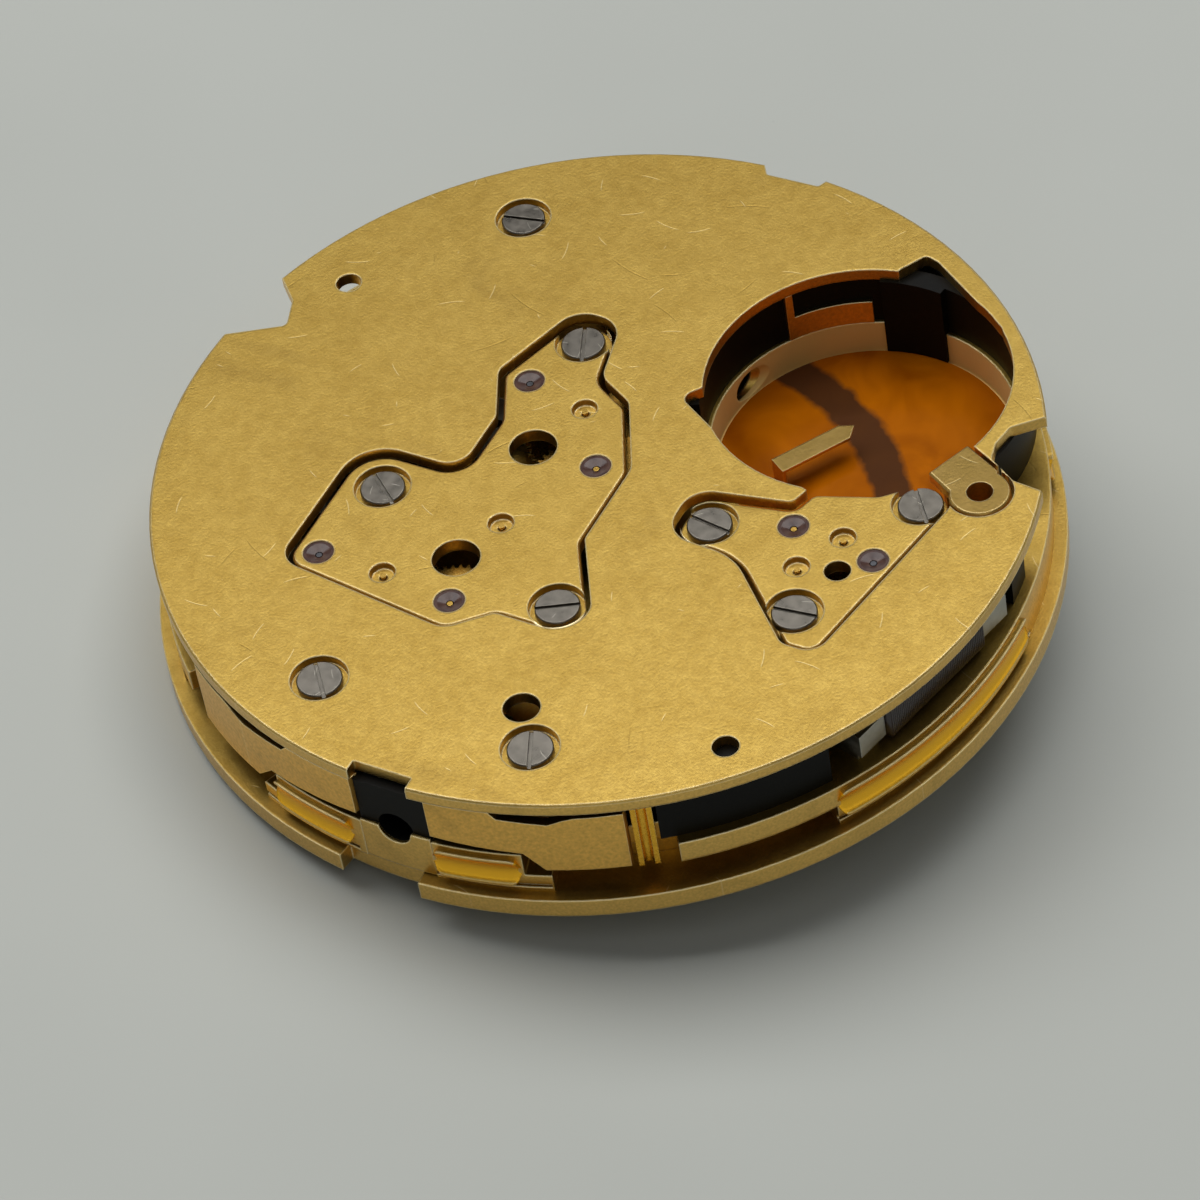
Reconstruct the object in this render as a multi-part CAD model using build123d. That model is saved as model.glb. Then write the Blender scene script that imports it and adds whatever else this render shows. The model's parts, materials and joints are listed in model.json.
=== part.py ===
from build123d import *
import math
import os

# Quartz chronograph movement, lying on its dial side.
# The dial seat is the plane z = 0, the centre hand axis is the Z axis,
# the winding stem points along +X and the small seconds lie along +Y.

# Case fit and heights
CASING_RADIUS = 15.0
FLANGE_THICKNESS = 0.72
PLATE_THICKNESS = 1.63
TRAIN_SPACE = 2.0
BACK_PLATE_THICKNESS = 0.45
FLANGE_REACH = 0.45
BACK_PLATE_REACH = 0.05
BRIDGE_DROP = 0.2
BRIDGE_THICKNESS = 0.5
FOOT_HEIGHT = 0.5
PLATE_WEB = 0.35
POCKET_MARGIN = 4.55
EDGE_BEVEL = 0.07
CUT_OVERRUN = 0.6

plate_radius = CASING_RADIUS - FLANGE_REACH
back_plate_radius = plate_radius + BACK_PLATE_REACH
pocket_radius = plate_radius - POCKET_MARGIN
flange_top = FLANGE_THICKNESS
plate_top = flange_top + PLATE_THICKNESS
back_plate_low = plate_top + TRAIN_SPACE
back_plate_top = back_plate_low + BACK_PLATE_THICKNESS
bridge_top = back_plate_top - BRIDGE_DROP
bridge_low = bridge_top - BRIDGE_THICKNESS
pillar_top = bridge_low - FOOT_HEIGHT
web_low = plate_top - PLATE_WEB
below_all = -CUT_OVERRUN

# Fits between pieces, on the radius
RUNNING_GAP = 0.03
PLAIN_GAP = 0.08
SEAM_GAP = 0.1

# Battery well
BATTERY_RADIUS = 4.75
BATTERY_CLEARANCE = 0.32
WELL_FLOOR = 0.3
WELL_WALL = 0.4
WELL_LINER_WALL = 0.6
INSULATOR_THICKNESS = 0.08
WELL_PLACE_SHARES = (-0.422, 0.428)
WELL_LINER_START = 62
WELL_LINER_SWEEP = 236
STRIP_THICKNESS = 0.12
STRIP_RISE = 0.75
BAND_WALL = 0.15
BAND_START = 201
BAND_SWEEP = 30
BAND_HEIGHT = 0.95
BAND_POST_SWEEP = 3
APRON_WALL = 0.12
APRON_START = 172
APRON_SWEEP = 25
CLAMP_HEAD_RADIUS = 1.0
CLAMP_THICKNESS = 0.4
CLAMP_TAIL_HEIGHT = 1.6
CLAMP_TAIL_WALL = 0.15
CLAMP_TAIL_START = 58
CLAMP_TAIL_SWEEP = 12
well_radius = BATTERY_RADIUS + BATTERY_CLEARANCE
well_floor_top = flange_top + WELL_FLOOR

# Arbors and wheels
ARBOR_RADIUS = 0.15
PIVOT_RADIUS = 0.1
PIVOT_LENGTH = 0.3
WHEEL_THICKNESS = 0.12
LEVEL_GAP = 0.1
DRIVE_LEVEL_RISE = 0.85
HAND_LEVEL_RISE = 1.25
POST_DROP = 1.45
TOOTH_TIP_SHARE = 0.75
TOOTH_ROOT_SHARE = 1.0
TOOTH_TIP_WIDTH_SHARE = 0.1
TOOTH_ROOT_WIDTH_SHARE = 0.31
PINION_TEETH = 8
POCKET_LEVELS = ("third", "centre", "transfer", "minute", "hour")
IDLER_STUD_RADIUS = 0.25
IDLER_HEAD_RADIUS = 0.42
IDLER_HEAD_HEIGHT = 0.06
SETTING_WHEEL_ANGLE = 31.7
SETTING_STUD_RADIUS = 0.3
COUNTER_BRIDGE_THICKNESS = 0.3
COUNTER_POST_RADIUS = 0.55
COUNTER_BRIDGE_GAP = 0.06
drive_low = plate_top + DRIVE_LEVEL_RISE
hand_low = plate_top + HAND_LEVEL_RISE

# Centre stack, from the inside out
SWEEP_RADIUS = 0.12
SWEEP_DROP = 2.0
CENTRE_TUBE_WALL = 0.12
CENTRE_TUBE_DROP = 0.6
CANNON_WALL = 0.12
CANNON_DROP = 1.5
HOUR_PIPE_WALL = 0.13
HOUR_PIPE_DROP = 1.05
HAND_SEAT_STEP = 0.03
HAND_SEAT_LENGTH = 0.4
tube_bore = SWEEP_RADIUS + RUNNING_GAP
tube_radius = tube_bore + CENTRE_TUBE_WALL
cannon_bore = tube_radius + RUNNING_GAP
cannon_radius = cannon_bore + CANNON_WALL
hour_bore = cannon_radius + RUNNING_GAP
hour_radius = hour_bore + HOUR_PIPE_WALL

# Calendar
RING_RECESS = 0.45
FLANGE_WALL = 1.25
DATE_RING_EDGE_GAP = 0.07
DATE_RING_WIDTH = 2.48
DATE_RING_LOW = 0.16
DATE_RING_THICKNESS = 0.2
DATE_RING_TOOTH_DEPTH = 0.55
DATE_TIP_WIDTH_SHARE = 0.1
DATE_ROOT_WIDTH_SHARE = 0.28
DATE_STUD_RADIUS = 0.3
DATE_COVER_OVERLAP = 0.8
DATE_COVER_THICKNESS = 0.1
JUMPER_STUD_RADIUS = 0.28
JUMPER_EYE_RADIUS = 0.6
COVER_BOSS_RADIUS = 0.6
DATE_TEETH = 31
DATE_FINGER_GAP = 0.05
DATE_FINGER_WIDTH = 0.5
DATE_WHEEL_MODULE = 0.17
ring_recess_radius = CASING_RADIUS - FLANGE_WALL
date_ring_radius = ring_recess_radius - DATE_RING_EDGE_GAP
date_tip_radius = date_ring_radius - DATE_RING_WIDTH
date_cover_radius = date_tip_radius + DATE_COVER_OVERLAP
date_ring_top = DATE_RING_LOW + DATE_RING_THICKNESS

# Screws and jewels
PILLAR_RADIUS = 0.8
FOOT_RADIUS = 0.85
SCREW_HEAD_RADIUS = 0.74
SCREW_HEAD_HEIGHT = 0.28
SCREW_SHANK_RADIUS = 0.3
SCREW_RECESS_RADIUS = 0.94
SCREW_RECESS_DEPTH = 0.32
SCREW_THREAD_LENGTH = 1.3
SLOT_WIDTH = 0.13
SLOT_DEPTH = 0.12
JEWEL_RADIUS = 0.51
JEWEL_THICKNESS = 0.3
JEWEL_SINK = 0.04
JEWEL_CUP_RADIUS = 0.4
JEWEL_CUP_DEPTH = 0.1
OIL_CUP_RADIUS = 0.43
OIL_CUP_DEPTH = 0.25
OIL_CUP_FLOOR_RADIUS = 0.38
SHOULDER_POCKET = 0.1
LOCATING_HOLE_RADIUS = 0.43
INSPECTION_HOLE_RADIUS = 0.79
RELEASE_HOLE_RADIUS = 0.6
SCREW_SLOT_ANGLES = (22.5, 52, 118.5, 38.5, 96, 82)
PLATE_SCREW_SLOT_ANGLES = (100.5, 24, 39.5)
COUNTER_SCREW_SLOT_ANGLE = 30
COIL_SCREW_SLOT_TURN = 40

# Motors
WINDING_HALF_WIDTH = 0.95
WINDING_HALF_LENGTH = 2.3
WINDING_ROUND = 0.35
CORE_HALF_LENGTH = 3.65
CORE_WIDTH = 1.1
CORE_HEIGHT = 0.7
COIL_AXIS_RISE = 0.98
STATOR_THICKNESS = 0.4
STATOR_ARM_WIDTH = 0.9
STATOR_RING_RADIUS = 1.15
ROTOR_HOLE_RADIUS = 0.7
MAGNET_RADIUS = 0.6
MAGNET_HEIGHT = 0.5
MAGNET_RISE = 0.08
COIL_SCREW_HEAD_RADIUS = 0.45
COIL_SCREW_HEAD_HEIGHT = 0.22
COIL_SCREW_SHANK_RADIUS = 0.2
PAD_LENGTH = 1.2
PAD_WIDTH = 1.5
MOTORS = {
    "time": {"rotor": "time_rotor", "middle_shares": (0.2113, 0.8473), "angle": 166.0},
    "chrono": {"rotor": "chrono_rotor", "middle_shares": (0.0133, -0.6133), "angle": 180.0},
    "right": {"rotor": "right_rotor", "middle_shares": (0.4933, -0.7067), "angle": 214.8},
    "left": {"rotor": "left_rotor", "middle_shares": (-0.85, -0.1067), "angle": 90.0},
}
ELBOW_REACH_SHARES = {"time": 0.6, "chrono": 0.22, "right": 0.5, "left": 0.62}
pad_offset = CORE_HALF_LENGTH - PAD_LENGTH / 2
stator_top = plate_top + STATOR_THICKNESS
coil_axis = plate_top + COIL_AXIS_RISE
core_top = coil_axis + CORE_HEIGHT / 2

# Keyless works
STEM_BORE_RADIUS = 0.62
STEM_AXIS_RISE = 0.1
STEM_BLOCK_LENGTH = 2.7
STEM_BLOCK_WIDTH = 2.5
STEM_BLOCK_LOW = 1.75
STEM_BLOCK_HEIGHT = 2.5
CLUTCH_RADIUS = 1.0
CLUTCH_LENGTH = 2.0
CLUTCH_GROOVE_RADIUS = 0.62
CLUTCH_GROOVE_WIDTH = 0.55
CLUTCH_TRAVEL = 0.3
CLUTCH_END_GAP = 0.2
CLUTCH_SIDE_GAP = 0.25
CLUTCH_BORE_RADIUS = 0.3
STEM_BLOCK_INSET = 0.15
STEM_BED_INSET = 0.25
LEVER_THICKNESS = 0.2
LEVER_RISE = 0.03
YOKE_FINGER_WIDTH = 0.3
LEVER_STUD_RADIUS = 0.3
LEVER_BUTTON_RADIUS = 0.48
LEVER_BUTTON_HEIGHT = 0.5
LEVER_EYE_RADIUS = 0.55
stem_block_end = plate_radius - STEM_BLOCK_INSET
stem_block_start = stem_block_end - STEM_BLOCK_LENGTH
clutch_start = stem_block_start - CLUTCH_END_GAP - CLUTCH_TRAVEL - CLUTCH_LENGTH
stem_axis = plate_top + STEM_AXIS_RISE

# Pusher springs
SPRING_WALL = 0.35
SPRING_LOW = 1.75
SPRING_SEAM = 0.01
SPRING_START_ANGLE = 5.2
SPRING_SWEEPS = {"2h": -29.8, "4h": 24.8}
SPRING_RELIEF = 0.75
SPRING_RELIEF_ANGLE = 6
SPRING_NECK_SHARE = 0.46
spring_inner = back_plate_radius - SPRING_WALL
spring_relief_radius = spring_inner - SPRING_RELIEF
relief_low = SPRING_LOW - SPRING_WALL

# Grooves, notches and steps of the rim: angles are in degrees from +X
STEM_NOTCH_START = -8
STEM_NOTCH_SWEEP = 11
STEM_NOTCH_DEPTH = 0.55
RIM_GROOVES = ((56.5, 38.5), (4.5, 15.3), (-22, 16), (120, 60), (200, 90))
RIM_GROOVE_DEPTH = 0.3
RIM_GROOVE_LOW = 1.15
RIM_GROOVE_HIGH = 2.1
RIM_LINE_LOW = 0.84
RIM_LINE_HIGH = 1.0
RIM_LINE_DEPTH = 0.14
RIM_VOIDS = ((20, 36.5), (-46, 24))
RIM_VOID_DEPTH = 1.25
RIM_VOID_HEIGHT = 0.8

# Circuit and rim post
SPACER_STRETCHES = ((34.0, 23.0), (94.0, 5.0))
SPACER_INSET = 0.35
SPACER_WIDTH = 1.3
BOARD_THICKNESS = 0.2
CHIP_SIZE = 1.6
CHIP_HEIGHT = 0.5
CRYSTAL_RADIUS = 0.6
CRYSTAL_LENGTH = 4.2
CRYSTAL_ANGLE = 125
POST_START = 30.8
POST_SWEEP = 2.7
POST_INSET = 0.2
POST_GROOVE_RADIUS = 0.16
spacer_outer = plate_radius - SPACER_INSET
board_low = back_plate_low - BOARD_THICKNESS

# Places on the movement, as shares of the casing radius
PLACE_SHARES = {
    "centre": (0.0, 0.0),
    "small_seconds": (0.0133, 0.48),
    "seconds_intermediate": (0.0067, 0.5933),
    "time_rotor": (0.0447, 0.6813),
    "third": (0.1167, 0.5367),
    "transfer": (0.18, 0.2233),
    "minute": (0.222, -0.1167),
    "chrono_intermediate": (-0.1467, -0.102),
    "chrono_rotor": (-0.182, -0.2567),
    "right_counter": (0.462, -0.1153),
    "right_intermediate": (0.44, -0.29),
    "right_rotor": (0.4353, -0.45),
    "left_counter": (-0.462, -0.1153),
    "left_intermediate": (-0.568, -0.134),
    "left_rotor": (-0.666, -0.1693),
}
LARGE_SCREW_SHARES = ((-0.3313, -0.2), (0.2147, -0.412), (0.3933, 0.108))
SMALL_SCREW_SHARES = ((-0.14, 0.7067), (0.2333, 0.5867), (0.0667, 0.3067))
PLATE_SCREW_SHARES = ((-0.6293, -0.5027), (0.7773, 0.244), (0.764, -0.264))
LOCATING_HOLE_SHARES = ((-0.308, -0.78), (0.632, 0.6227))
RELEASE_HOLE_SHARES = (0.6867, 0.1773)
INSPECTION_HOLE_SHARES = ((-0.0033, -0.1547), (0.3467, -0.16))
SMALL_BRIDGE_HOLE_SHARES = (0.098, 0.6233)
COVER_SCREW_SHARES = ((-0.5, -0.38), (0.5, -0.38), (0.1, 0.68))
COUNTER_BRIDGE_SCREW_SHARES = ((-0.61, -0.01), (-0.56, -0.26))

# Corners of the bridges, as shares of the casing radius: x, y and the corner's round
LARGE_BRIDGE_CORNER_SHARES = (
    (-0.007, 0.077, 0.053),
    (-0.183, -0.017, 0.04),
    (-0.233, -0.109, 0.053),
    (-0.398, -0.144, 0.06),
    (-0.398, -0.248, 0.062),
    (-0.179, -0.323, 0.033),
    (-0.052, -0.262, 0.04),
    (0.123, -0.263, 0.06),
    (0.123, -0.507, 0.092),
    (0.487, -0.509, 0.047),
    (0.54, -0.087, 0.053),
    (0.462, -0.003, 0.033),
    (0.465, 0.179, 0.066),
    (0.385, 0.179, 0.04),
    (0.213, 0.076, 0.033),
)
SMALL_BRIDGE_CORNER_SHARES = (
    (-0.2, 0.781, 0.06),
    (-0.199, 0.683, 0.04),
    (-0.135, 0.61, 0.033),
    (-0.09, 0.477, 0.03),
    (-0.033, 0.459, 0.027),
    (0.005, 0.241, 0.058),
    (0.132, 0.241, 0.058),
    (0.141, 0.408, 0.147),
    (0.329, 0.608, 0.033),
    (0.329, 0.68, 0.04),
)

# Corners and places around the battery well, as shares of its radius from its middle
WELL_FINGER_SIDE_SHARES = (
    (0.536, -1.012, 0.068),
    (0.864, -0.447, 0.296),
    (0.985, 0.041, 0.059),
    (1.041, 0.213, 0.03),
    (0.627, 0.864, 0.059),
    (0.065, 0.361, 0.059),
    (0.272, -0.793, 0.059),
)
WELL_OUTER_SIDE_SHARES = (
    (-0.991, -0.172, 0.03),
    (-1.183, -0.053, 0.041),
    (-1.154, 0.044, 0.059),
    (-0.704, 0.737, 0.089),
    (-0.231, 0.509, 0.03),
)
CLAMP_LEG_SHARES = (
    (0.76, 1.056, 0.024),
    (0.604, 0.775, 0.018),
    (0.296, 0.908, 0.018),
    (0.45, 1.219, 0.059),
)
NEGATIVE_STRIP_SHARES = (
    (-0.05, -0.216, 0.004),
    (-0.09, -0.12, 0.004),
    (0.021, -0.098, 0.004),
    (0.45, -0.379, 0.004),
    (0.376, -0.497, 0.004),
)
CLAMP_HEAD_SHARES = (0.647, 1.15)

# Corners of the other outlines, as shares of the casing radius
STEM_WINDOW_SHARES = (
    (0.94, -0.086, 0.004),
    (0.94, 0.052, 0.004),
    (1.03, 0.052, 0.004),
    (1.03, -0.086, 0.004),
)
NINE_NOTCH_SHARES = (
    (-0.966, 0.097, 0.004),
    (-0.944, 0.087, 0.008),
    (-0.941, -0.04, 0.008),
    (-0.973, -0.062, 0.004),
    (-1.03, 0.02, 0.004),
)
NOON_NOTCH_SHARES = (
    (-0.273, -0.935, 0.01),
    (-0.215, -0.874, 0.02),
    (-0.14, -0.848, 0.015),
    (-0.06, -0.98, 0.01),
    (-0.17, -1.05, 0.01),
    (-0.3, -1.02, 0.01),
)
SEVEN_NOTCH_SHARES = (
    (-0.455, 0.86, 0.01),
    (-0.4, 0.8, 0.02),
    (-0.345, 0.79, 0.02),
    (-0.3, 0.8, 0.015),
    (-0.257, 0.87, 0.012),
    (-0.25, 0.94, 0.01),
    (-0.22, 0.98, 0.01),
    (-0.42, 1.05, 0.01),
)
COUNTER_BRIDGE_CORNER_SHARES = (
    (-0.43, -0.08, 0.03),
    (-0.6, 0.03, 0.04),
    (-0.71, -0.12, 0.04),
    (-0.71, -0.22, 0.04),
    (-0.54, -0.31, 0.04),
    (-0.43, -0.16, 0.03),
)
CIRCUIT_BOARD_CORNER_SHARES = (
    (0.34, 0.26, 0.02),
    (0.58, 0.17, 0.02),
    (0.68, 0.28, 0.03),
    (0.68, 0.52, 0.03),
    (0.46, 0.7, 0.03),
    (0.36, 0.56, 0.03),
)
SETTING_LEVER_SHARES = (
    (0.65, 0.13, 0.02),
    (0.73, 0.13, 0.02),
    (0.8, 0.115, 0.012),
    (0.8, 0.145, 0.012),
    (0.72, 0.205, 0.02),
    (0.66, 0.215, 0.02),
)
JUMPER_ARM_SHARES = (
    (-0.59, -0.31, 0.01),
    (-0.635, -0.335, 0.01),
    (-0.69, -0.2, 0.006),
    (-0.735, -0.105, 0.004),
    (-0.722, -0.1, 0.002),
    (-0.668, -0.19, 0.006),
)
# Corners of a pusher spring, as shares of its sweep and of its height from the lower edge
PUSHER_SPRING_SHARES = (
    (0, 1),
    (0, 0.386),
    (0.476, 0.29),
    (0.577, 0),
    (1, 0),
    (1, 0.945),
    (0.75, 0.93),
    (0.7, 0.9),
    (0.62, 0.82),
    (0.37, 0.89),
    (0.335, 1),
)
JUMPER_PIVOT_SHARES = (-0.61, -0.32)
YOKE_PIVOT_SHARES = (0.62, -0.2)
CHIP_PLACE_SHARES = (0.56, 0.3)
CRYSTAL_PLACE_SHARES = (0.5, 0.52)


def place(shares):
    return (shares[0] * CASING_RADIUS, shares[1] * CASING_RADIUS)


spots = {name: place(shares) for name, shares in PLACE_SHARES.items()}
well_place = place(WELL_PLACE_SHARES)


def near_well(shares):
    return (well_place[0] + shares[0] * well_radius, well_place[1] + shares[1] * well_radius)


clamp_head_place = near_well(CLAMP_HEAD_SHARES)
large_screws = [place(shares) for shares in LARGE_SCREW_SHARES]
small_screws = [place(shares) for shares in SMALL_SCREW_SHARES]
plate_screws = [place(shares) for shares in PLATE_SCREW_SHARES]
bridge_screws = large_screws + small_screws


def between(start, end):
    return math.dist(start, end)


def heading(start, end):
    return math.degrees(math.atan2(end[1] - start[1], end[0] - start[0]))


def step(start, angle, distance):
    turn = math.radians(angle)
    return (start[0] + distance * math.cos(turn), start[1] + distance * math.sin(turn))


# Plain shapes between two levels

def disc(radius, low, high, at=(0, 0)):
    upright = (Align.CENTER, Align.CENTER, Align.MIN)
    return Pos(at[0], at[1], low) * Cylinder(radius, high - low, align=upright)


def ring(outer, inner, low, high, at=(0, 0)):
    return disc(outer, low, high, at) - disc(inner, low, high, at)


def slab(face, low, high):
    return extrude(Pos(0, 0, low) * face, high - low, dir=(0, 0, 1))


def block(low_corner, high_corner):
    size = [high - low for low, high in zip(low_corner, high_corner)]
    return Pos(*low_corner) * Box(*size, align=(Align.MIN, Align.MIN, Align.MIN))


def outline(corner_shares, size=CASING_RADIUS, middle=(0, 0)):
    corners = [(middle[0] + x * size, middle[1] + y * size) for x, y, corner_round in corner_shares]
    rounds = [corner_round * size for x, y, corner_round in corner_shares]
    return make_face(FilletPolyline(*corners, radius=rounds, close=True))


def well_outline(corner_shares):
    return outline(corner_shares, well_radius, well_place)


def band(start, sweep, inner, outer, low, high, at=(0, 0)):
    outer_arc = CenterArc(at, outer, start, sweep)
    inner_arc = CenterArc(at, inner, start, sweep)
    sides = [Line(outer_arc @ 0, inner_arc @ 0), Line(outer_arc @ 1, inner_arc @ 1)]
    return slab(make_face([outer_arc, inner_arc, *sides]), low, high)


def bar(start, end, width, low, high):
    length = between(start, end) + width
    flat = Rot(0, 0, heading(start, end)) * Rectangle(length, width)
    middle = ((start[0] + end[0]) / 2, (start[1] + end[1]) / 2)
    return slab(Pos(middle[0], middle[1]) * flat, low, high)


def sink(top_radius, floor_radius, low, high, at):
    upright = (Align.CENTER, Align.CENTER, Align.MIN)
    return Pos(at[0], at[1], low) * Cone(floor_radius, top_radius, high - low, align=upright)


def bevelled(solid, bevel):
    top = solid.faces().sort_by(Axis.Z)[-1]
    return chamfer(top.edges(), bevel)


def screw(at, head_low, head_radius, head_height, shank_radius, shank_length, slot_angle):
    head = disc(head_radius, head_low, head_low + head_height, at)
    head = bevelled(head, SLOT_DEPTH / 3)
    slot = Rot(0, 0, slot_angle) * Rectangle(head_radius * 3, SLOT_WIDTH)
    head_top = head_low + head_height
    head -= slab(Pos(at[0], at[1]) * slot, head_top - SLOT_DEPTH, head_top + SLOT_DEPTH)
    return head + disc(shank_radius, head_low - shank_length, head_low, at)


# Wheels

def toothed(teeth, module, low, thickness, bore, at, phase=0):
    tip = module * (teeth / 2 + TOOTH_TIP_SHARE)
    root = module * (teeth / 2 - TOOTH_ROOT_SHARE)
    pitch_angle = 360 / teeth
    profile = (
        (root, -TOOTH_ROOT_WIDTH_SHARE),
        (tip, -TOOTH_TIP_WIDTH_SHARE),
        (tip, TOOTH_TIP_WIDTH_SHARE),
        (root, TOOTH_ROOT_WIDTH_SHARE),
    )
    points = []
    for tooth in range(teeth):
        for radius, offset_share in profile:
            angle = phase + (tooth + offset_share) * pitch_angle
            points.append(step(at, angle, radius))
    wheel = slab(make_face(Polyline(*points, close=True)), low, low + thickness)
    return wheel - disc(bore, low, low + thickness, at)


def gear(teeth, module, low, at, phase):
    return toothed(teeth, module, low, WHEEL_THICKNESS, ARBOR_RADIUS, at, phase)


def mesh_module(start, end, teeth_a, teeth_b):
    return 2 * between(start, end) / (teeth_a + teeth_b)


def meshed_phase(at, mate, teeth):
    return heading(at, mate) + 180 / teeth


def arbor(at, low, high, low_pivot=True, high_pivot=True, radius=ARBOR_RADIUS):
    body_low = low + (PIVOT_LENGTH if low_pivot else 0)
    body_high = high - (PIVOT_LENGTH if high_pivot else 0)
    shaft = disc(radius, body_low, body_high, at)
    if low_pivot:
        shaft += disc(PIVOT_RADIUS, low, body_low, at)
    if high_pivot:
        shaft += disc(PIVOT_RADIUS, body_high, high, at)
    return shaft


def pocket_low(level):
    return web_low - (POCKET_LEVELS.index(level) + 1) * (WHEEL_THICKNESS + LEVEL_GAP)


bridge_pivot_top = bridge_top - JEWEL_SINK - PIVOT_RADIUS
web_pivot_low = web_low + PIVOT_RADIUS / 2
dial_pivot_low = RING_RECESS + PIVOT_RADIUS / 2


# Trains: each entry gives teeth and the wheel that it meshes with

TRAIN_TEETH = {
    "seconds_intermediate": 40,
    "small_seconds": 48,
    "third": 40,
    "third_pinion": 15,
    "transfer": 45,
    "centre_pinion": 12,
    "idler": 12,
    "centre": 48,
    "cannon": 20,
    "minute": 60,
    "minute_pinion": 16,
    "hour": 64,
    "setting": 39,
    "chrono_intermediate": 48,
    "chrono_seconds": 56,
    "right_intermediate": 48,
    "right_counter": 56,
    "left_intermediate": 40,
    "left_counter": 48,
    "hour_date": 24,
    "date_drive": 48,
}


def rotor(name, mate_name, wheel_teeth):
    at = spots[name]
    mate = spots[mate_name]
    module = mesh_module(at, mate, PINION_TEETH, wheel_teeth)
    magnet_low = plate_top + MAGNET_RISE
    magnet = ring(MAGNET_RADIUS, ARBOR_RADIUS, magnet_low, magnet_low + MAGNET_HEIGHT, at)
    pinion = gear(PINION_TEETH, module, drive_low, at, heading(at, mate))
    return [arbor(at, web_pivot_low, bridge_pivot_top), magnet, pinion]


def intermediate(name, rotor_name, wheel_teeth, mate_name, mate_teeth):
    at = spots[name]
    rotor_at = spots[rotor_name]
    mate = spots[mate_name]
    module = mesh_module(at, rotor_at, PINION_TEETH, wheel_teeth)
    phase = meshed_phase(at, rotor_at, wheel_teeth)
    wheel = gear(wheel_teeth, module, drive_low, at, phase)
    pinion_module = mesh_module(at, mate, PINION_TEETH, mate_teeth)
    pinion_phase = heading(at, mate)
    pinion = gear(PINION_TEETH, pinion_module, hand_low, at, pinion_phase)
    return [arbor(at, web_pivot_low, bridge_pivot_top), wheel, pinion]


def hand_wheel(name, mate_name, teeth, bore):
    at = spots[name]
    mate = spots[mate_name]
    module = mesh_module(at, mate, PINION_TEETH, teeth)
    return toothed(teeth, module, hand_low, WHEEL_THICKNESS, bore, at, meshed_phase(at, mate, teeth))


def counter_wheel(name, mate_name, teeth, top):
    at = spots[name]
    post = arbor(at, HAND_SEAT_LENGTH - POST_DROP, top, low_pivot=False)
    post += disc(ARBOR_RADIUS - HAND_SEAT_STEP, -POST_DROP, HAND_SEAT_LENGTH - POST_DROP, at)
    return [post, hand_wheel(name, mate_name, teeth, ARBOR_RADIUS)]


def small_seconds_wheel():
    at = spots["small_seconds"]
    third = spots["third"]
    module = mesh_module(at, third, PINION_TEETH, TRAIN_TEETH["third"])
    pinion = gear(PINION_TEETH, module, pocket_low("third"), at, heading(at, third))
    solids = counter_wheel(
        "small_seconds", "seconds_intermediate", TRAIN_TEETH["small_seconds"], bridge_pivot_top
    )
    return [*solids, pinion]


def third_wheel():
    at = spots["third"]
    seconds = spots["small_seconds"]
    transfer = spots["transfer"]
    teeth = TRAIN_TEETH["third"]
    module = mesh_module(at, seconds, PINION_TEETH, teeth)
    wheel = gear(teeth, module, pocket_low("third"), at, meshed_phase(at, seconds, teeth))
    pinion_teeth = TRAIN_TEETH["third_pinion"]
    pinion_module = mesh_module(at, transfer, pinion_teeth, TRAIN_TEETH["transfer"])
    pinion = gear(pinion_teeth, pinion_module, pocket_low("transfer"), at, heading(at, transfer))
    return [arbor(at, dial_pivot_low, bridge_pivot_top), wheel, pinion]


# The idler stands on the line from the transfer arbor to the centre
centre_train_teeth = TRAIN_TEETH["centre_pinion"] + 2 * TRAIN_TEETH["idler"] + TRAIN_TEETH["centre"]
centre_module = 2 * between(spots["transfer"], spots["centre"]) / centre_train_teeth
idler_reach = centre_module * (TRAIN_TEETH["centre"] + TRAIN_TEETH["idler"]) / 2
centre_to_transfer = heading(spots["centre"], spots["transfer"])
idler_place = step(spots["centre"], centre_to_transfer, idler_reach)


def transfer_wheel():
    at = spots["transfer"]
    third = spots["third"]
    teeth = TRAIN_TEETH["transfer"]
    module = mesh_module(at, third, TRAIN_TEETH["third_pinion"], teeth)
    wheel = gear(teeth, module, pocket_low("transfer"), at, meshed_phase(at, third, teeth))
    teeth = TRAIN_TEETH["centre_pinion"]
    pinion = gear(teeth, centre_module, pocket_low("centre"), at, heading(at, spots["centre"]))
    return [arbor(at, dial_pivot_low, web_low + PIVOT_LENGTH), wheel, pinion]


def minute_idler():
    teeth = TRAIN_TEETH["idler"]
    bore = IDLER_STUD_RADIUS + RUNNING_GAP
    phase = meshed_phase(idler_place, spots["transfer"], teeth)
    return [toothed(teeth, centre_module, pocket_low("centre"), WHEEL_THICKNESS, bore, idler_place, phase)]


def idler_stud():
    stud_low = pocket_low("centre") - RUNNING_GAP
    head_low = stud_low - IDLER_HEAD_HEIGHT
    head = disc(IDLER_HEAD_RADIUS, head_low, stud_low, idler_place)
    return [head + disc(IDLER_STUD_RADIUS, stud_low, web_low + PIVOT_LENGTH, idler_place)]


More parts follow.
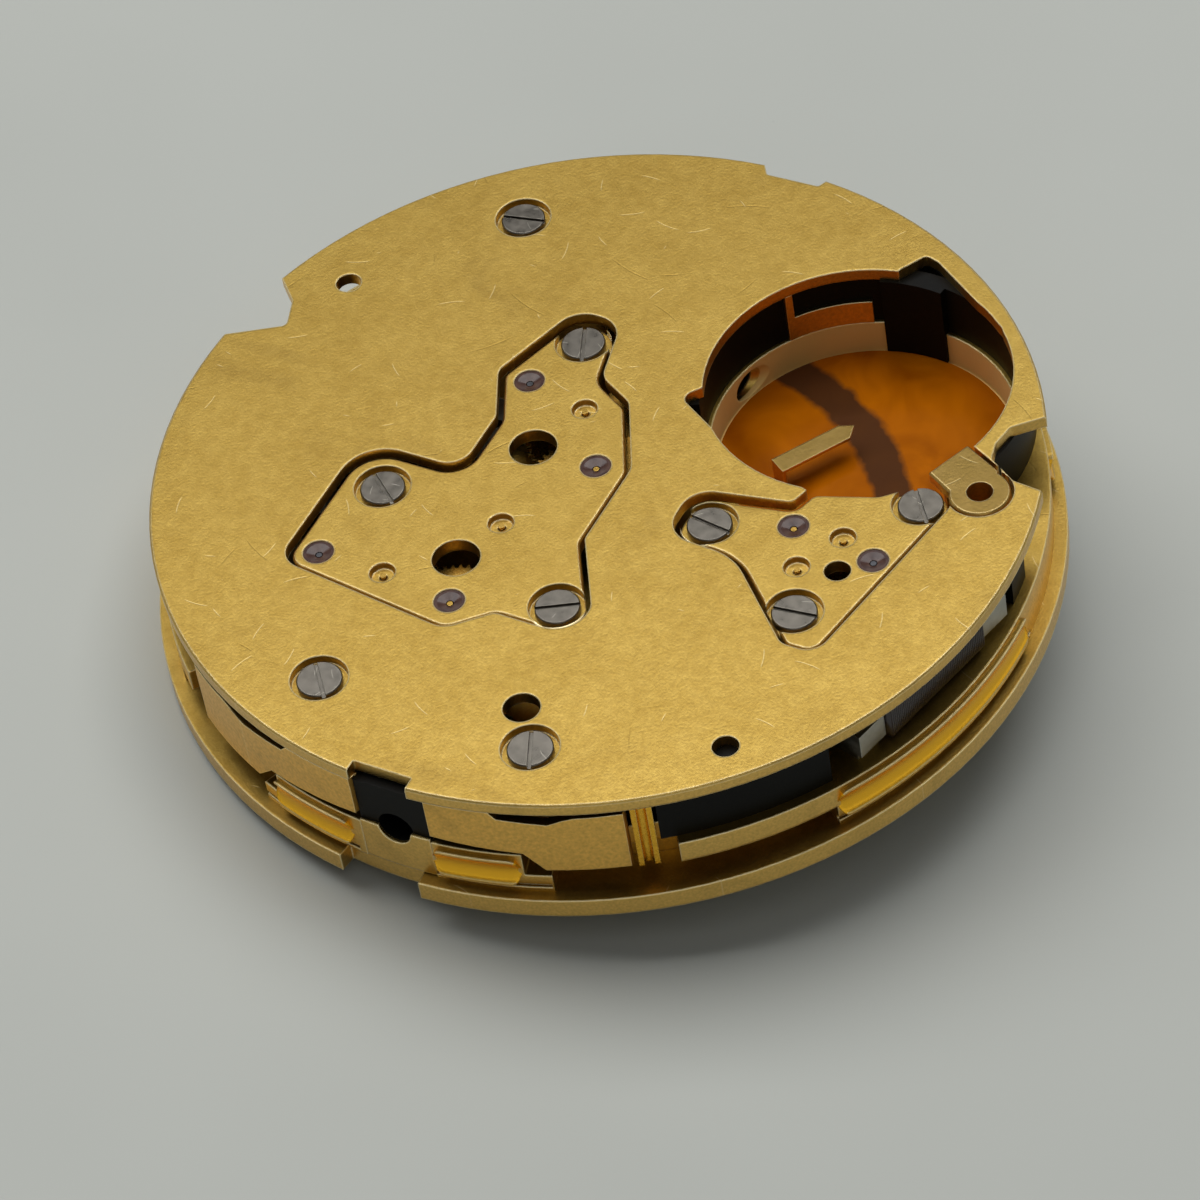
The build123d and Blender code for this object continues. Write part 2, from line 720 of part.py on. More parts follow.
def centre_wheel():
    teeth = TRAIN_TEETH["centre"]
    centre = spots["centre"]
    phase = heading(centre, idler_place) + 180 / teeth
    low = pocket_low("centre")
    wheel = toothed(teeth, centre_module, low, WHEEL_THICKNESS, cannon_radius, centre, phase)
    cannon_teeth = TRAIN_TEETH["cannon"]
    module = mesh_module(centre, spots["minute"], cannon_teeth, TRAIN_TEETH["minute"])
    cannon = toothed(
        cannon_teeth, module, pocket_low("minute"), WHEEL_THICKNESS,
        cannon_radius, centre, heading(centre, spots["minute"]),
    )
    seat_top = HAND_SEAT_LENGTH - CANNON_DROP
    pipe = ring(cannon_radius, cannon_bore, seat_top, pocket_low("third"))
    pipe += ring(cannon_radius - HAND_SEAT_STEP, cannon_bore, -CANNON_DROP, seat_top)
    return [pipe, wheel, cannon]


def minute_wheel():
    at = spots["minute"]
    centre = spots["centre"]
    teeth = TRAIN_TEETH["minute"]
    module = mesh_module(at, centre, teeth, TRAIN_TEETH["cannon"])
    wheel = gear(teeth, module, pocket_low("minute"), at, meshed_phase(at, centre, teeth))
    pinion_teeth = TRAIN_TEETH["minute_pinion"]
    pinion_module = mesh_module(at, centre, pinion_teeth, TRAIN_TEETH["hour"])
    pinion = gear(pinion_teeth, pinion_module, pocket_low("hour"), at, heading(at, centre))
    return [arbor(at, dial_pivot_low, bridge_pivot_top), wheel, pinion]


def hour_wheel():
    centre = spots["centre"]
    minute = spots["minute"]
    teeth = TRAIN_TEETH["hour"]
    module = mesh_module(centre, minute, TRAIN_TEETH["minute_pinion"], teeth)
    phase = meshed_phase(centre, minute, teeth)
    wheel = toothed(teeth, module, pocket_low("hour"), WHEEL_THICKNESS, hour_radius, centre, phase)
    date_gear = toothed(
        TRAIN_TEETH["hour_date"], DATE_WHEEL_MODULE, DATE_RING_LOW, DATE_RING_THICKNESS,
        hour_radius, centre, heading(centre, date_drive_place),
    )
    pipe_top = pocket_low("minute") - RUNNING_GAP
    seat_top = HAND_SEAT_LENGTH - HOUR_PIPE_DROP
    pipe = ring(hour_radius, hour_bore, seat_top, pipe_top)
    pipe += ring(hour_radius - HAND_SEAT_STEP, hour_bore, -HOUR_PIPE_DROP, seat_top)
    return [pipe, wheel, date_gear]


setting_module = mesh_module(
    spots["minute"], spots["centre"], TRAIN_TEETH["minute"], TRAIN_TEETH["cannon"]
)
setting_reach = setting_module * (TRAIN_TEETH["minute"] + TRAIN_TEETH["setting"]) / 2
setting_place = step(spots["minute"], SETTING_WHEEL_ANGLE, setting_reach)


def setting_wheel():
    teeth = TRAIN_TEETH["setting"]
    phase = meshed_phase(setting_place, spots["minute"], teeth)
    bore = SETTING_STUD_RADIUS + RUNNING_GAP
    low = pocket_low("minute")
    return [toothed(teeth, setting_module, low, WHEEL_THICKNESS, bore, setting_place, phase)]


def chrono_seconds_wheel():
    centre = spots["centre"]
    wheel = hand_wheel("centre", "chrono_intermediate", TRAIN_TEETH["chrono_seconds"], SWEEP_RADIUS)
    seat_top = HAND_SEAT_LENGTH - SWEEP_DROP
    sweep = disc(SWEEP_RADIUS - HAND_SEAT_STEP, -SWEEP_DROP, seat_top, centre)
    sweep += disc(SWEEP_RADIUS, seat_top, bridge_pivot_top - PIVOT_LENGTH, centre)
    sweep += disc(PIVOT_RADIUS, bridge_pivot_top - PIVOT_LENGTH, bridge_pivot_top, centre)
    return [sweep, wheel]


def centre_tube():
    return [ring(tube_radius, tube_bore, -CENTRE_TUBE_DROP, plate_top)]


# Calendar works

date_drive_reach = DATE_WHEEL_MODULE * (TRAIN_TEETH["hour_date"] + TRAIN_TEETH["date_drive"]) / 2
date_drive_place = (0, -date_drive_reach)


def date_drive_wheel():
    teeth = TRAIN_TEETH["date_drive"]
    at = date_drive_place
    phase = meshed_phase(at, spots["centre"], teeth)
    bore = DATE_STUD_RADIUS + RUNNING_GAP
    wheel = toothed(teeth, DATE_WHEEL_MODULE, DATE_RING_LOW, DATE_RING_THICKNESS, bore, at, phase)
    reach = date_tip_radius - date_drive_reach - DATE_FINGER_GAP
    start = (at[0] + reach / 2, at[1])
    end = (at[0] + reach - DATE_FINGER_WIDTH / 2, at[1])
    finger = bar(start, end, DATE_FINGER_WIDTH, DATE_RING_LOW, date_ring_top)
    return [wheel + finger]


def date_ring():
    root = date_tip_radius + DATE_RING_TOOTH_DEPTH
    pitch_angle = 360 / DATE_TEETH
    profile = (
        (root, -DATE_ROOT_WIDTH_SHARE),
        (date_tip_radius, -DATE_TIP_WIDTH_SHARE),
        (date_tip_radius, DATE_TIP_WIDTH_SHARE),
        (root, DATE_ROOT_WIDTH_SHARE),
    )
    points = []
    for tooth in range(DATE_TEETH):
        for radius, offset_share in profile:
            angle = (tooth + offset_share) * pitch_angle
            points.append(step((0, 0), angle, radius))
    hollow = slab(make_face(Polyline(*points, close=True)), DATE_RING_LOW, date_ring_top)
    return [disc(date_ring_radius, DATE_RING_LOW, date_ring_top) - hollow]


def date_cover():
    cover = disc(date_cover_radius, 0, DATE_COVER_THICKNESS)
    cover -= disc(hour_radius + PLAIN_GAP, 0, DATE_COVER_THICKNESS)
    for name in ("small_seconds", "right_counter", "left_counter"):
        cover -= disc(ARBOR_RADIUS + PLAIN_GAP, 0, DATE_COVER_THICKNESS, spots[name])
    for shares in COVER_SCREW_SHARES:
        cover -= disc(SCREW_SHANK_RADIUS, 0, DATE_COVER_THICKNESS, place(shares))
    return [cover]


def cover_screws():
    solids = []
    for shares in COVER_SCREW_SHARES:
        solids.append(disc(SCREW_SHANK_RADIUS, 0, flange_top, place(shares)))
    return solids


def date_jumper():
    pivot = place(JUMPER_PIVOT_SHARES)
    arm = slab(outline(JUMPER_ARM_SHARES), DATE_RING_LOW, date_ring_top)
    arm += disc(JUMPER_EYE_RADIUS, DATE_RING_LOW, date_ring_top, pivot)
    return [arm - disc(JUMPER_STUD_RADIUS + RUNNING_GAP, DATE_RING_LOW, date_ring_top, pivot)]


# Plates


def dial_plate():
    plate = disc(CASING_RADIUS, 0, flange_top)
    plate -= disc(ring_recess_radius, 0, RING_RECESS)
    for shares in COVER_SCREW_SHARES:
        plate += disc(COVER_BOSS_RADIUS, DATE_COVER_THICKNESS, RING_RECESS, place(shares))
        plate -= disc(SCREW_SHANK_RADIUS, 0, flange_top, place(shares))
    plate += disc(DATE_STUD_RADIUS, DATE_COVER_THICKNESS, RING_RECESS, date_drive_place)
    plate += disc(JUMPER_STUD_RADIUS, DATE_COVER_THICKNESS, RING_RECESS, place(JUMPER_PIVOT_SHARES))
    plate += disc(SETTING_STUD_RADIUS, flange_top, pocket_low("transfer"), setting_place)
    plate -= disc(hour_radius + RUNNING_GAP, 0, flange_top)
    for name in ("small_seconds", "right_counter", "left_counter"):
        plate -= disc(ARBOR_RADIUS + RUNNING_GAP, 0, flange_top, spots[name])
    for name in ("third", "transfer", "minute"):
        plate -= disc(PIVOT_RADIUS + RUNNING_GAP, 0, flange_top, spots[name])
    notch_inner = CASING_RADIUS - STEM_NOTCH_DEPTH
    notch_outer = CASING_RADIUS + CUT_OVERRUN
    plate -= band(
        STEM_NOTCH_START, STEM_NOTCH_SWEEP, notch_inner, notch_outer, below_all, flange_top + CUT_OVERRUN
    )
    return [plate]


def motor_points(name):
    motor = MOTORS[name]
    middle = place(motor["middle_shares"])
    rotor_at = spots[motor["rotor"]]
    along = motor["angle"]
    ends = [step(middle, along, pad_offset), step(middle, along, -pad_offset)]
    inward = along + 90
    reach = (rotor_at[0] - middle[0]) * math.cos(math.radians(inward))
    reach += (rotor_at[1] - middle[1]) * math.sin(math.radians(inward))
    elbows = [step(end, inward, reach * ELBOW_REACH_SHARES[name]) for end in ends]
    return middle, ends, elbows, rotor_at


def stator(name):
    middle, ends, elbows, rotor_at = motor_points(name)
    plate = disc(STATOR_RING_RADIUS, plate_top, stator_top, rotor_at)
    for end, elbow in zip(ends, elbows):
        plate += bar(end, elbow, STATOR_ARM_WIDTH, plate_top, stator_top)
        plate += bar(elbow, rotor_at, STATOR_ARM_WIDTH, plate_top, stator_top)
        plate += disc(STATOR_ARM_WIDTH / 2, plate_top, stator_top, elbow)
    plate -= disc(ROTOR_HOLE_RADIUS, plate_top, stator_top, rotor_at)
    for end in ends:
        plate -= disc(COIL_SCREW_SHANK_RADIUS, plate_top, stator_top, end)
    return [plate]


def coil_core(name):
    middle, ends, elbows, rotor_at = motor_points(name)
    turned = Pos(middle[0], middle[1], coil_axis) * Rot(0, 0, MOTORS[name]["angle"])
    core = turned * Box(2 * CORE_HALF_LENGTH, CORE_WIDTH, CORE_HEIGHT)
    for end in ends:
        pad = Pos(end[0], end[1]) * Rot(0, 0, MOTORS[name]["angle"]) * Rectangle(PAD_LENGTH, PAD_WIDTH)
        core += slab(pad, stator_top, core_top)
        core -= disc(COIL_SCREW_SHANK_RADIUS, stator_top, core_top, end)
    return [core]


def winding(name):
    middle = place(MOTORS[name]["middle_shares"])
    turned = Pos(middle[0], middle[1], coil_axis) * Rot(0, 0, MOTORS[name]["angle"])
    coil = Box(2 * WINDING_HALF_LENGTH, 2 * WINDING_HALF_WIDTH, 2 * WINDING_HALF_WIDTH)
    coil = fillet(coil.edges().filter_by(Axis.X), WINDING_ROUND)
    return [turned * (coil - Box(2 * CORE_HALF_LENGTH, CORE_WIDTH, CORE_HEIGHT))]


def coil_screws():
    solids = []
    for name in MOTORS:
        middle, ends, elbows, rotor_at = motor_points(name)
        for end in ends:
            length = core_top - web_low
            solids.append(screw(
                end, core_top, COIL_SCREW_HEAD_RADIUS, COIL_SCREW_HEAD_HEIGHT,
                COIL_SCREW_SHANK_RADIUS, length, MOTORS[name]["angle"] + COIL_SCREW_SLOT_TURN,
            ))
    return solids


# A round-bottomed groove turned into the rim
def rim_groove(start, sweep):
    half_height = (RIM_GROOVE_HIGH - RIM_GROOVE_LOW) / 2
    bow = (half_height**2 + RIM_GROOVE_DEPTH**2) / (2 * RIM_GROOVE_DEPTH)
    middle_radius = plate_radius - RIM_GROOVE_DEPTH + bow
    hoop = Rot(0, 0, start) * Torus(middle_radius, bow, major_angle=sweep)
    return Pos(0, 0, RIM_GROOVE_LOW + half_height) * hoop


def main_plate():
    plate = disc(plate_radius, flange_top, plate_top)
    pocket = disc(pocket_radius, flange_top, web_low)
    pocket -= disc(well_radius + WELL_WALL, flange_top, web_low, well_place)
    plate -= pocket
    plate -= disc(well_radius, well_floor_top, plate_top, well_place)
    for at in bridge_screws:
        plate += disc(PILLAR_RADIUS, plate_top, pillar_top, at)
    for at in plate_screws:
        plate += disc(PILLAR_RADIUS, plate_top, back_plate_low, at)
    for shares in COUNTER_BRIDGE_SCREW_SHARES:
        plate += disc(COUNTER_POST_RADIUS, plate_top, counter_bridge_low, place(shares))
        plate -= disc(COIL_SCREW_SHANK_RADIUS, web_low, counter_bridge_low, place(shares))
    for at in bridge_screws:
        plate -= disc(SCREW_SHANK_RADIUS, pillar_top - SCREW_THREAD_LENGTH / 2, pillar_top, at)
    for at in plate_screws:
        plate -= disc(SCREW_SHANK_RADIUS, back_plate_low - SCREW_THREAD_LENGTH, back_plate_low, at)
    for name in MOTORS:
        for end in motor_points(name)[1]:
            plate -= disc(COIL_SCREW_SHANK_RADIUS, web_low, plate_top, end)
    plate -= web_holes()
    for sweep in SPRING_SWEEPS.values():
        start = math.copysign(SPRING_START_ANGLE, sweep)
        relief_sweep = sweep + math.copysign(SPRING_RELIEF_ANGLE, sweep)
        neck = sweep * SPRING_NECK_SHARE
        plate -= band(start, relief_sweep, spring_relief_radius, CASING_RADIUS, plate_top, back_plate_low)
        plate -= band(start + neck, relief_sweep - neck, spring_relief_radius, CASING_RADIUS, relief_low, plate_top)
    void_inner = plate_radius - RIM_VOID_DEPTH
    void_top = flange_top + RIM_VOID_HEIGHT
    for start, sweep in RIM_VOIDS:
        plate -= band(start, sweep, void_inner, CASING_RADIUS, flange_top, void_top)
    line_inner = plate_radius - RIM_LINE_DEPTH
    for start, sweep in RIM_GROOVES:
        plate -= rim_groove(start, sweep)
        plate -= band(start, sweep, line_inner, CASING_RADIUS, RIM_LINE_LOW, RIM_LINE_HIGH)
    window_side = CLUTCH_RADIUS + CLUTCH_SIDE_GAP
    plate -= block(
        (clutch_start - CLUTCH_SIDE_GAP, -window_side, stem_axis - window_side),
        (stem_block_start, window_side, plate_top),
    )
    half_width = STEM_BLOCK_WIDTH / 2
    plate -= block((stem_block_start, -half_width, flange_top), (CASING_RADIUS, half_width, plate_top))
    return [plate]


def web_holes():
    holes = disc(tube_radius, web_low, plate_top)
    ending_in_web = (
        "time_rotor", "seconds_intermediate", "chrono_rotor", "chrono_intermediate",
        "right_rotor", "right_intermediate", "left_rotor", "left_intermediate", "transfer",
    )
    for name in ending_in_web:
        holes += disc(PIVOT_RADIUS + RUNNING_GAP, web_low, plate_top, spots[name])
    for name in ("small_seconds", "third", "minute", "right_counter", "left_counter"):
        holes += disc(ARBOR_RADIUS + PLAIN_GAP, web_low, plate_top, spots[name])
    holes += disc(IDLER_STUD_RADIUS, web_low, plate_top, idler_place)
    lever_pivots = (place(RELEASE_HOLE_SHARES), place(YOKE_PIVOT_SHARES))
    for pivot in lever_pivots:
        holes += disc(LEVER_STUD_RADIUS, web_low, plate_top, pivot)
    return holes


# Back plate with its openings

def clamp_outline():
    head = Pos(*clamp_head_place) * Circle(CLAMP_HEAD_RADIUS)
    return head + well_outline(CLAMP_LEG_SHARES)


def back_plate():
    plate = bevelled(disc(back_plate_radius, back_plate_low, back_plate_top), EDGE_BEVEL)
    openings = offset(outline(LARGE_BRIDGE_CORNER_SHARES), SEAM_GAP)
    openings += offset(outline(SMALL_BRIDGE_CORNER_SHARES), SEAM_GAP)
    openings += Pos(*well_place) * Circle(well_radius)
    openings += well_outline(WELL_FINGER_SIDE_SHARES)
    openings += well_outline(WELL_OUTER_SIDE_SHARES)
    openings += offset(clamp_outline(), SEAM_GAP)
    openings += outline(NOON_NOTCH_SHARES)
    openings += outline(SEVEN_NOTCH_SHARES)
    openings += outline(STEM_WINDOW_SHARES)
    openings += outline(NINE_NOTCH_SHARES)
    plate -= slab(openings, back_plate_low, back_plate_top)
    recess_low = back_plate_top - SCREW_RECESS_DEPTH
    for at in plate_screws:
        plate -= disc(SCREW_RECESS_RADIUS, recess_low, back_plate_top, at)
        plate -= disc(SCREW_SHANK_RADIUS + RUNNING_GAP, back_plate_low, recess_low, at)
    for shares in LOCATING_HOLE_SHARES:
        plate -= disc(LOCATING_HOLE_RADIUS, back_plate_low, back_plate_top, place(shares))
    release = place(RELEASE_HOLE_SHARES)
    plate -= disc(RELEASE_HOLE_RADIUS, back_plate_low, back_plate_top, release)
    return [plate]


# A sheet rolled to the rim: its corners are given by angle and height
def curved_sheet(corners, inner, outer):
    angles = [angle for angle, height in corners]
    middle = math.radians((min(angles) + max(angles)) / 2)
    points = [(outer * math.sin(math.radians(angle) - middle), height) for angle, height in corners]
    sideways = (-math.sin(middle), math.cos(middle), 0)
    outward = (math.cos(middle), math.sin(middle), 0)
    flat = Plane(origin=(0, 0, 0), x_dir=sideways, z_dir=outward) * make_face(Polyline(*points, close=True))
    heights = [height for angle, height in corners]
    return extrude(flat, CASING_RADIUS, dir=outward) & ring(outer, inner, min(heights), max(heights))


def pusher_spring(name):
    sweep = SPRING_SWEEPS[name]
    start = math.copysign(SPRING_START_ANGLE, sweep)
    top = back_plate_low - SPRING_SEAM
    corners = [
        (start + sweep * along, SPRING_LOW + (top - SPRING_LOW) * up) for along, up in PUSHER_SPRING_SHARES
    ]
    return [curved_sheet(corners, spring_inner, back_plate_radius)]


# Bridges

def bridge(corner_shares, screw_places, jewel_names, cup_names):
    face = offset(outline(corner_shares), -SEAM_GAP)
    body = bevelled(slab(face, bridge_low, bridge_top), EDGE_BEVEL)
    recess_low = bridge_top - SCREW_RECESS_DEPTH
    for at in screw_places:
        body += disc(FOOT_RADIUS, pillar_top, bridge_low, at)
    for at in screw_places:
        body -= disc(SCREW_RECESS_RADIUS, recess_low, bridge_top, at)
        body -= disc(SCREW_SHANK_RADIUS + RUNNING_GAP, pillar_top, recess_low, at)
    for name in jewel_names:
        jewel_low = bridge_top - JEWEL_SINK - JEWEL_THICKNESS
        body -= disc(JEWEL_RADIUS, jewel_low, bridge_top, spots[name])
        body -= disc(ARBOR_RADIUS + PLAIN_GAP, bridge_low, jewel_low, spots[name])
    for name in cup_names:
        cup_low = bridge_top - OIL_CUP_DEPTH
        body -= sink(OIL_CUP_RADIUS, OIL_CUP_FLOOR_RADIUS, cup_low, bridge_top, spots[name])
        body -= disc(PIVOT_RADIUS + RUNNING_GAP, bridge_low, cup_low, spots[name])
        body -= disc(ARBOR_RADIUS + RUNNING_GAP, bridge_low, bridge_low + SHOULDER_POCKET, spots[name])
    return body


LARGE_JEWELS = ("centre", "chrono_rotor", "right_counter", "right_rotor")
LARGE_CUPS = ("chrono_intermediate", "minute", "right_intermediate")
SMALL_JEWELS = ("time_rotor", "small_seconds")
SMALL_CUPS = ("seconds_intermediate", "third")


def large_bridge():
    body = bridge(LARGE_BRIDGE_CORNER_SHARES, large_screws, LARGE_JEWELS, LARGE_CUPS)
    for shares in INSPECTION_HOLE_SHARES:
        body -= disc(INSPECTION_HOLE_RADIUS, bridge_low, bridge_top, place(shares))
    return [body]


def small_bridge():
    body = bridge(SMALL_BRIDGE_CORNER_SHARES, small_screws, SMALL_JEWELS, SMALL_CUPS)
    body -= disc(LOCATING_HOLE_RADIUS, bridge_low, bridge_top, place(SMALL_BRIDGE_HOLE_SHARES))
    return [body]


def jewels(names):
    jewel_low = bridge_top - JEWEL_SINK - JEWEL_THICKNESS
    jewel_top = jewel_low + JEWEL_THICKNESS
    bore = PIVOT_RADIUS + RUNNING_GAP
    solids = []
    for name in names:
        stone = ring(JEWEL_RADIUS, bore, jewel_low, jewel_top, spots[name])
        stone -= sink(JEWEL_CUP_RADIUS, bore, jewel_top - JEWEL_CUP_DEPTH, jewel_top, spots[name])
        solids.append(stone)
    return solids


counter_bridge_top = back_plate_low - COUNTER_BRIDGE_GAP - COIL_SCREW_HEAD_HEIGHT
counter_bridge_low = counter_bridge_top - COUNTER_BRIDGE_THICKNESS
counter_pivot_top = counter_bridge_top - COUNTER_BRIDGE_GAP


def counter_bridge():
    body = slab(outline(COUNTER_BRIDGE_CORNER_SHARES), counter_bridge_low, counter_bridge_top)
    for name in ("left_counter", "left_intermediate", "left_rotor"):
        body += disc(COUNTER_POST_RADIUS, counter_bridge_low, counter_bridge_top, spots[name])
        body -= disc(PIVOT_RADIUS + RUNNING_GAP, counter_bridge_low, counter_bridge_top, spots[name])
    for shares in COUNTER_BRIDGE_SCREW_SHARES:
        body -= disc(COIL_SCREW_SHANK_RADIUS, counter_bridge_low, counter_bridge_top, place(shares))
    return [body]


def counter_screws():
    solids = []
    for shares in COUNTER_BRIDGE_SCREW_SHARES:
        solids.append(screw(
            place(shares), counter_bridge_top, COIL_SCREW_HEAD_RADIUS, COIL_SCREW_HEAD_HEIGHT,
            COIL_SCREW_SHANK_RADIUS, counter_bridge_top - web_low, COUNTER_SCREW_SLOT_ANGLE,
        ))
    return solids


def bridge_screw_set():
    head_low = bridge_top - SCREW_RECESS_DEPTH
    length = head_low - pillar_top + SCREW_THREAD_LENGTH / 2
    return [
        screw(at, head_low, SCREW_HEAD_RADIUS, SCREW_HEAD_HEIGHT, SCREW_SHANK_RADIUS, length, angle)
        for at, angle in zip(bridge_screws, SCREW_SLOT_ANGLES)
    ]


def plate_screw_set():
    head_low = back_plate_top - SCREW_RECESS_DEPTH
    length = head_low - back_plate_low + SCREW_THREAD_LENGTH
    return [
        screw(at, head_low, SCREW_HEAD_RADIUS, SCREW_HEAD_HEIGHT, SCREW_SHANK_RADIUS, length, angle)
        for at, angle in zip(plate_screws, PLATE_SCREW_SLOT_ANGLES)
    ]


# Battery well

def well_insulator():
    return [disc(well_radius - PLAIN_GAP, well_floor_top, well_floor_top + INSULATOR_THICKNESS, well_place)]


def well_liner():
    inner = well_radius + BAND_WALL
    outer = well_radius + WELL_LINER_WALL
    liner = band(WELL_LINER_START, WELL_LINER_SWEEP, inner, outer, plate_top, back_plate_low, well_place)
    apron_inner = well_radius - APRON_WALL
    apron_low = well_floor_top + INSULATOR_THICKNESS + RUNNING_GAP
    liner += band(APRON_START, APRON_SWEEP, apron_inner, inner, plate_top, back_plate_low, well_place)
    liner += band(APRON_START, APRON_SWEEP, apron_inner, well_radius, apron_low, plate_top, well_place)
    return [liner]


def well_band():
    outer = well_radius + BAND_WALL
    strip = band(BAND_START, BAND_SWEEP, well_radius, outer, plate_top, plate_top + BAND_HEIGHT, well_place)
    post_start = BAND_START + BAND_SWEEP
    post = band(post_start, BAND_POST_SWEEP, well_radius, outer, plate_top, back_plate_low, well_place)
    return [strip + post]


def negative_strip():
    strip_low = well_floor_top + INSULATOR_THICKNESS + STRIP_RISE
    blade = slab(well_outline(NEGATIVE_STRIP_SHARES), strip_low, strip_low + STRIP_THICKNESS)
    root = near_well(NEGATIVE_STRIP_SHARES[3])
    other_root = near_well(NEGATIVE_STRIP_SHARES[4])
    toward_root = heading(near_well(NEGATIVE_STRIP_SHARES[2]), root)
    foot_start = step(root, toward_root, -STRIP_THICKNESS)
    foot_other = step(other_root, toward_root, -STRIP_THICKNESS)
    foot = make_face(Polyline(root, other_root, foot_other, foot_start, close=True))
    return [blade + slab(foot, well_floor_top + INSULATOR_THICKNESS, strip_low)]


def positive_clamp():
    low = back_plate_top - CLAMP_THICKNESS
    body = bevelled(slab(clamp_outline(), low, back_plate_top), EDGE_BEVEL)
    body -= disc(LOCATING_HOLE_RADIUS, low, back_plate_top, clamp_head_place)
    tail_outer = well_radius - RUNNING_GAP
    body += band(
        CLAMP_TAIL_START, CLAMP_TAIL_SWEEP, tail_outer - CLAMP_TAIL_WALL, tail_outer,
        low - CLAMP_TAIL_HEIGHT, low, well_place,
    )
    body += ring(CLAMP_HEAD_RADIUS, LOCATING_HOLE_RADIUS, plate_top, low, clamp_head_place)
    return [body]


# Keyless works

def stem_block():
    half_width = STEM_BLOCK_WIDTH / 2
    high = STEM_BLOCK_LOW + STEM_BLOCK_HEIGHT
    body = block(
        (stem_block_start, -half_width, STEM_BLOCK_LOW),
        (stem_block_start + STEM_BLOCK_LENGTH, half_width, high),
    )
    bore = Rot(0, 90, 0) * Cylinder(STEM_BORE_RADIUS, 2 * CASING_RADIUS)
    return [body - Pos(CASING_RADIUS, 0, stem_axis) * bore]


def stem_bed():
    half_width = STEM_BLOCK_WIDTH / 2
    bed = block((stem_block_start, -half_width, flange_top), (CASING_RADIUS, half_width, STEM_BLOCK_LOW))
    return [bed & disc(plate_radius - STEM_BED_INSET, flange_top, STEM_BLOCK_LOW)]


def sliding_pinion():
    def sleeve(radius, start, length):
        barrel = Rot(0, 90, 0) * Cylinder(radius, length, align=(Align.CENTER, Align.CENTER, Align.MIN))
        return Pos(start, 0, stem_axis) * barrel
    body = sleeve(CLUTCH_RADIUS, clutch_start, CLUTCH_LENGTH)
    groove_start = clutch_start + (CLUTCH_LENGTH - CLUTCH_GROOVE_WIDTH) / 2
    body -= sleeve(CLUTCH_RADIUS + CUT_OVERRUN, groove_start, CLUTCH_GROOVE_WIDTH)
    body += sleeve(CLUTCH_GROOVE_RADIUS, clutch_start, CLUTCH_LENGTH)
    return [body - sleeve(CLUTCH_BORE_RADIUS, clutch_start, CLUTCH_LENGTH)]


def yoke():
    pivot = place(YOKE_PIVOT_SHARES)
    low = plate_top + LEVER_RISE
    high = low + LEVER_THICKNESS
    tip = (clutch_start + CLUTCH_LENGTH / 2, -CLUTCH_GROOVE_RADIUS - YOKE_FINGER_WIDTH)
    bend = (tip[0], -CLUTCH_RADIUS - 2 * YOKE_FINGER_WIDTH)
    arm = bar(pivot, bend, YOKE_FINGER_WIDTH, low, high)
    arm += bar(bend, tip, YOKE_FINGER_WIDTH, low, high)
    arm += disc(LEVER_EYE_RADIUS, low, high, pivot)
    return [arm - disc(LEVER_STUD_RADIUS + RUNNING_GAP, low, high, pivot)]


def setting_lever():
    pivot = place(RELEASE_HOLE_SHARES)
    low = plate_top + LEVER_RISE
    high = low + LEVER_THICKNESS
    arm = slab(outline(SETTING_LEVER_SHARES), low, high)
    arm += disc(LEVER_BUTTON_RADIUS, high, high + LEVER_BUTTON_HEIGHT, pivot)
    return [arm + disc(LEVER_STUD_RADIUS - RUNNING_GAP, web_low, low, pivot)]


def yoke_stud():
    pivot = place(YOKE_PIVOT_SHARES)
    high = plate_top + LEVER_RISE + LEVER_THICKNESS + RUNNING_GAP
    stud = disc(LEVER_STUD_RADIUS, web_low, high, pivot)
    return [stud + disc(LEVER_EYE_RADIUS, high, high + LEVER_THICKNESS, pivot)]


# Circuit

def circuit_spacer():
    inner = spacer_outer - SPACER_WIDTH
    return [
        band(start, sweep, inner, spacer_outer, plate_top, back_plate_low)
        for start, sweep in SPACER_STRETCHES
    ]


def circuit_board():
    return [slab(outline(CIRCUIT_BOARD_CORNER_SHARES), board_low, back_plate_low)]


def circuit_chip():
    at = place(CHIP_PLACE_SHARES)
    return [Pos(at[0], at[1], board_low - CHIP_HEIGHT / 2) * Box(CHIP_SIZE, CHIP_SIZE, CHIP_HEIGHT)]


def quartz_can():
    at = place(CRYSTAL_PLACE_SHARES)
    can = Rot(0, 0, CRYSTAL_ANGLE) * Rot(0, 90, 0) * Cylinder(CRYSTAL_RADIUS, CRYSTAL_LENGTH)
    return [Pos(at[0], at[1], board_low - CRYSTAL_RADIUS) * can]


def rim_post():
    outer = plate_radius - POST_INSET
    inner = spring_relief_radius + PLAIN_GAP
    post = band(POST_START, POST_SWEEP, inner, outer, relief_low, back_plate_low)
    groove_place = step((0, 0), POST_START + POST_SWEEP / 2, outer)
    return [post - disc(POST_GROOVE_RADIUS, relief_low, back_plate_low, groove_place)]


# Every named piece with its solids

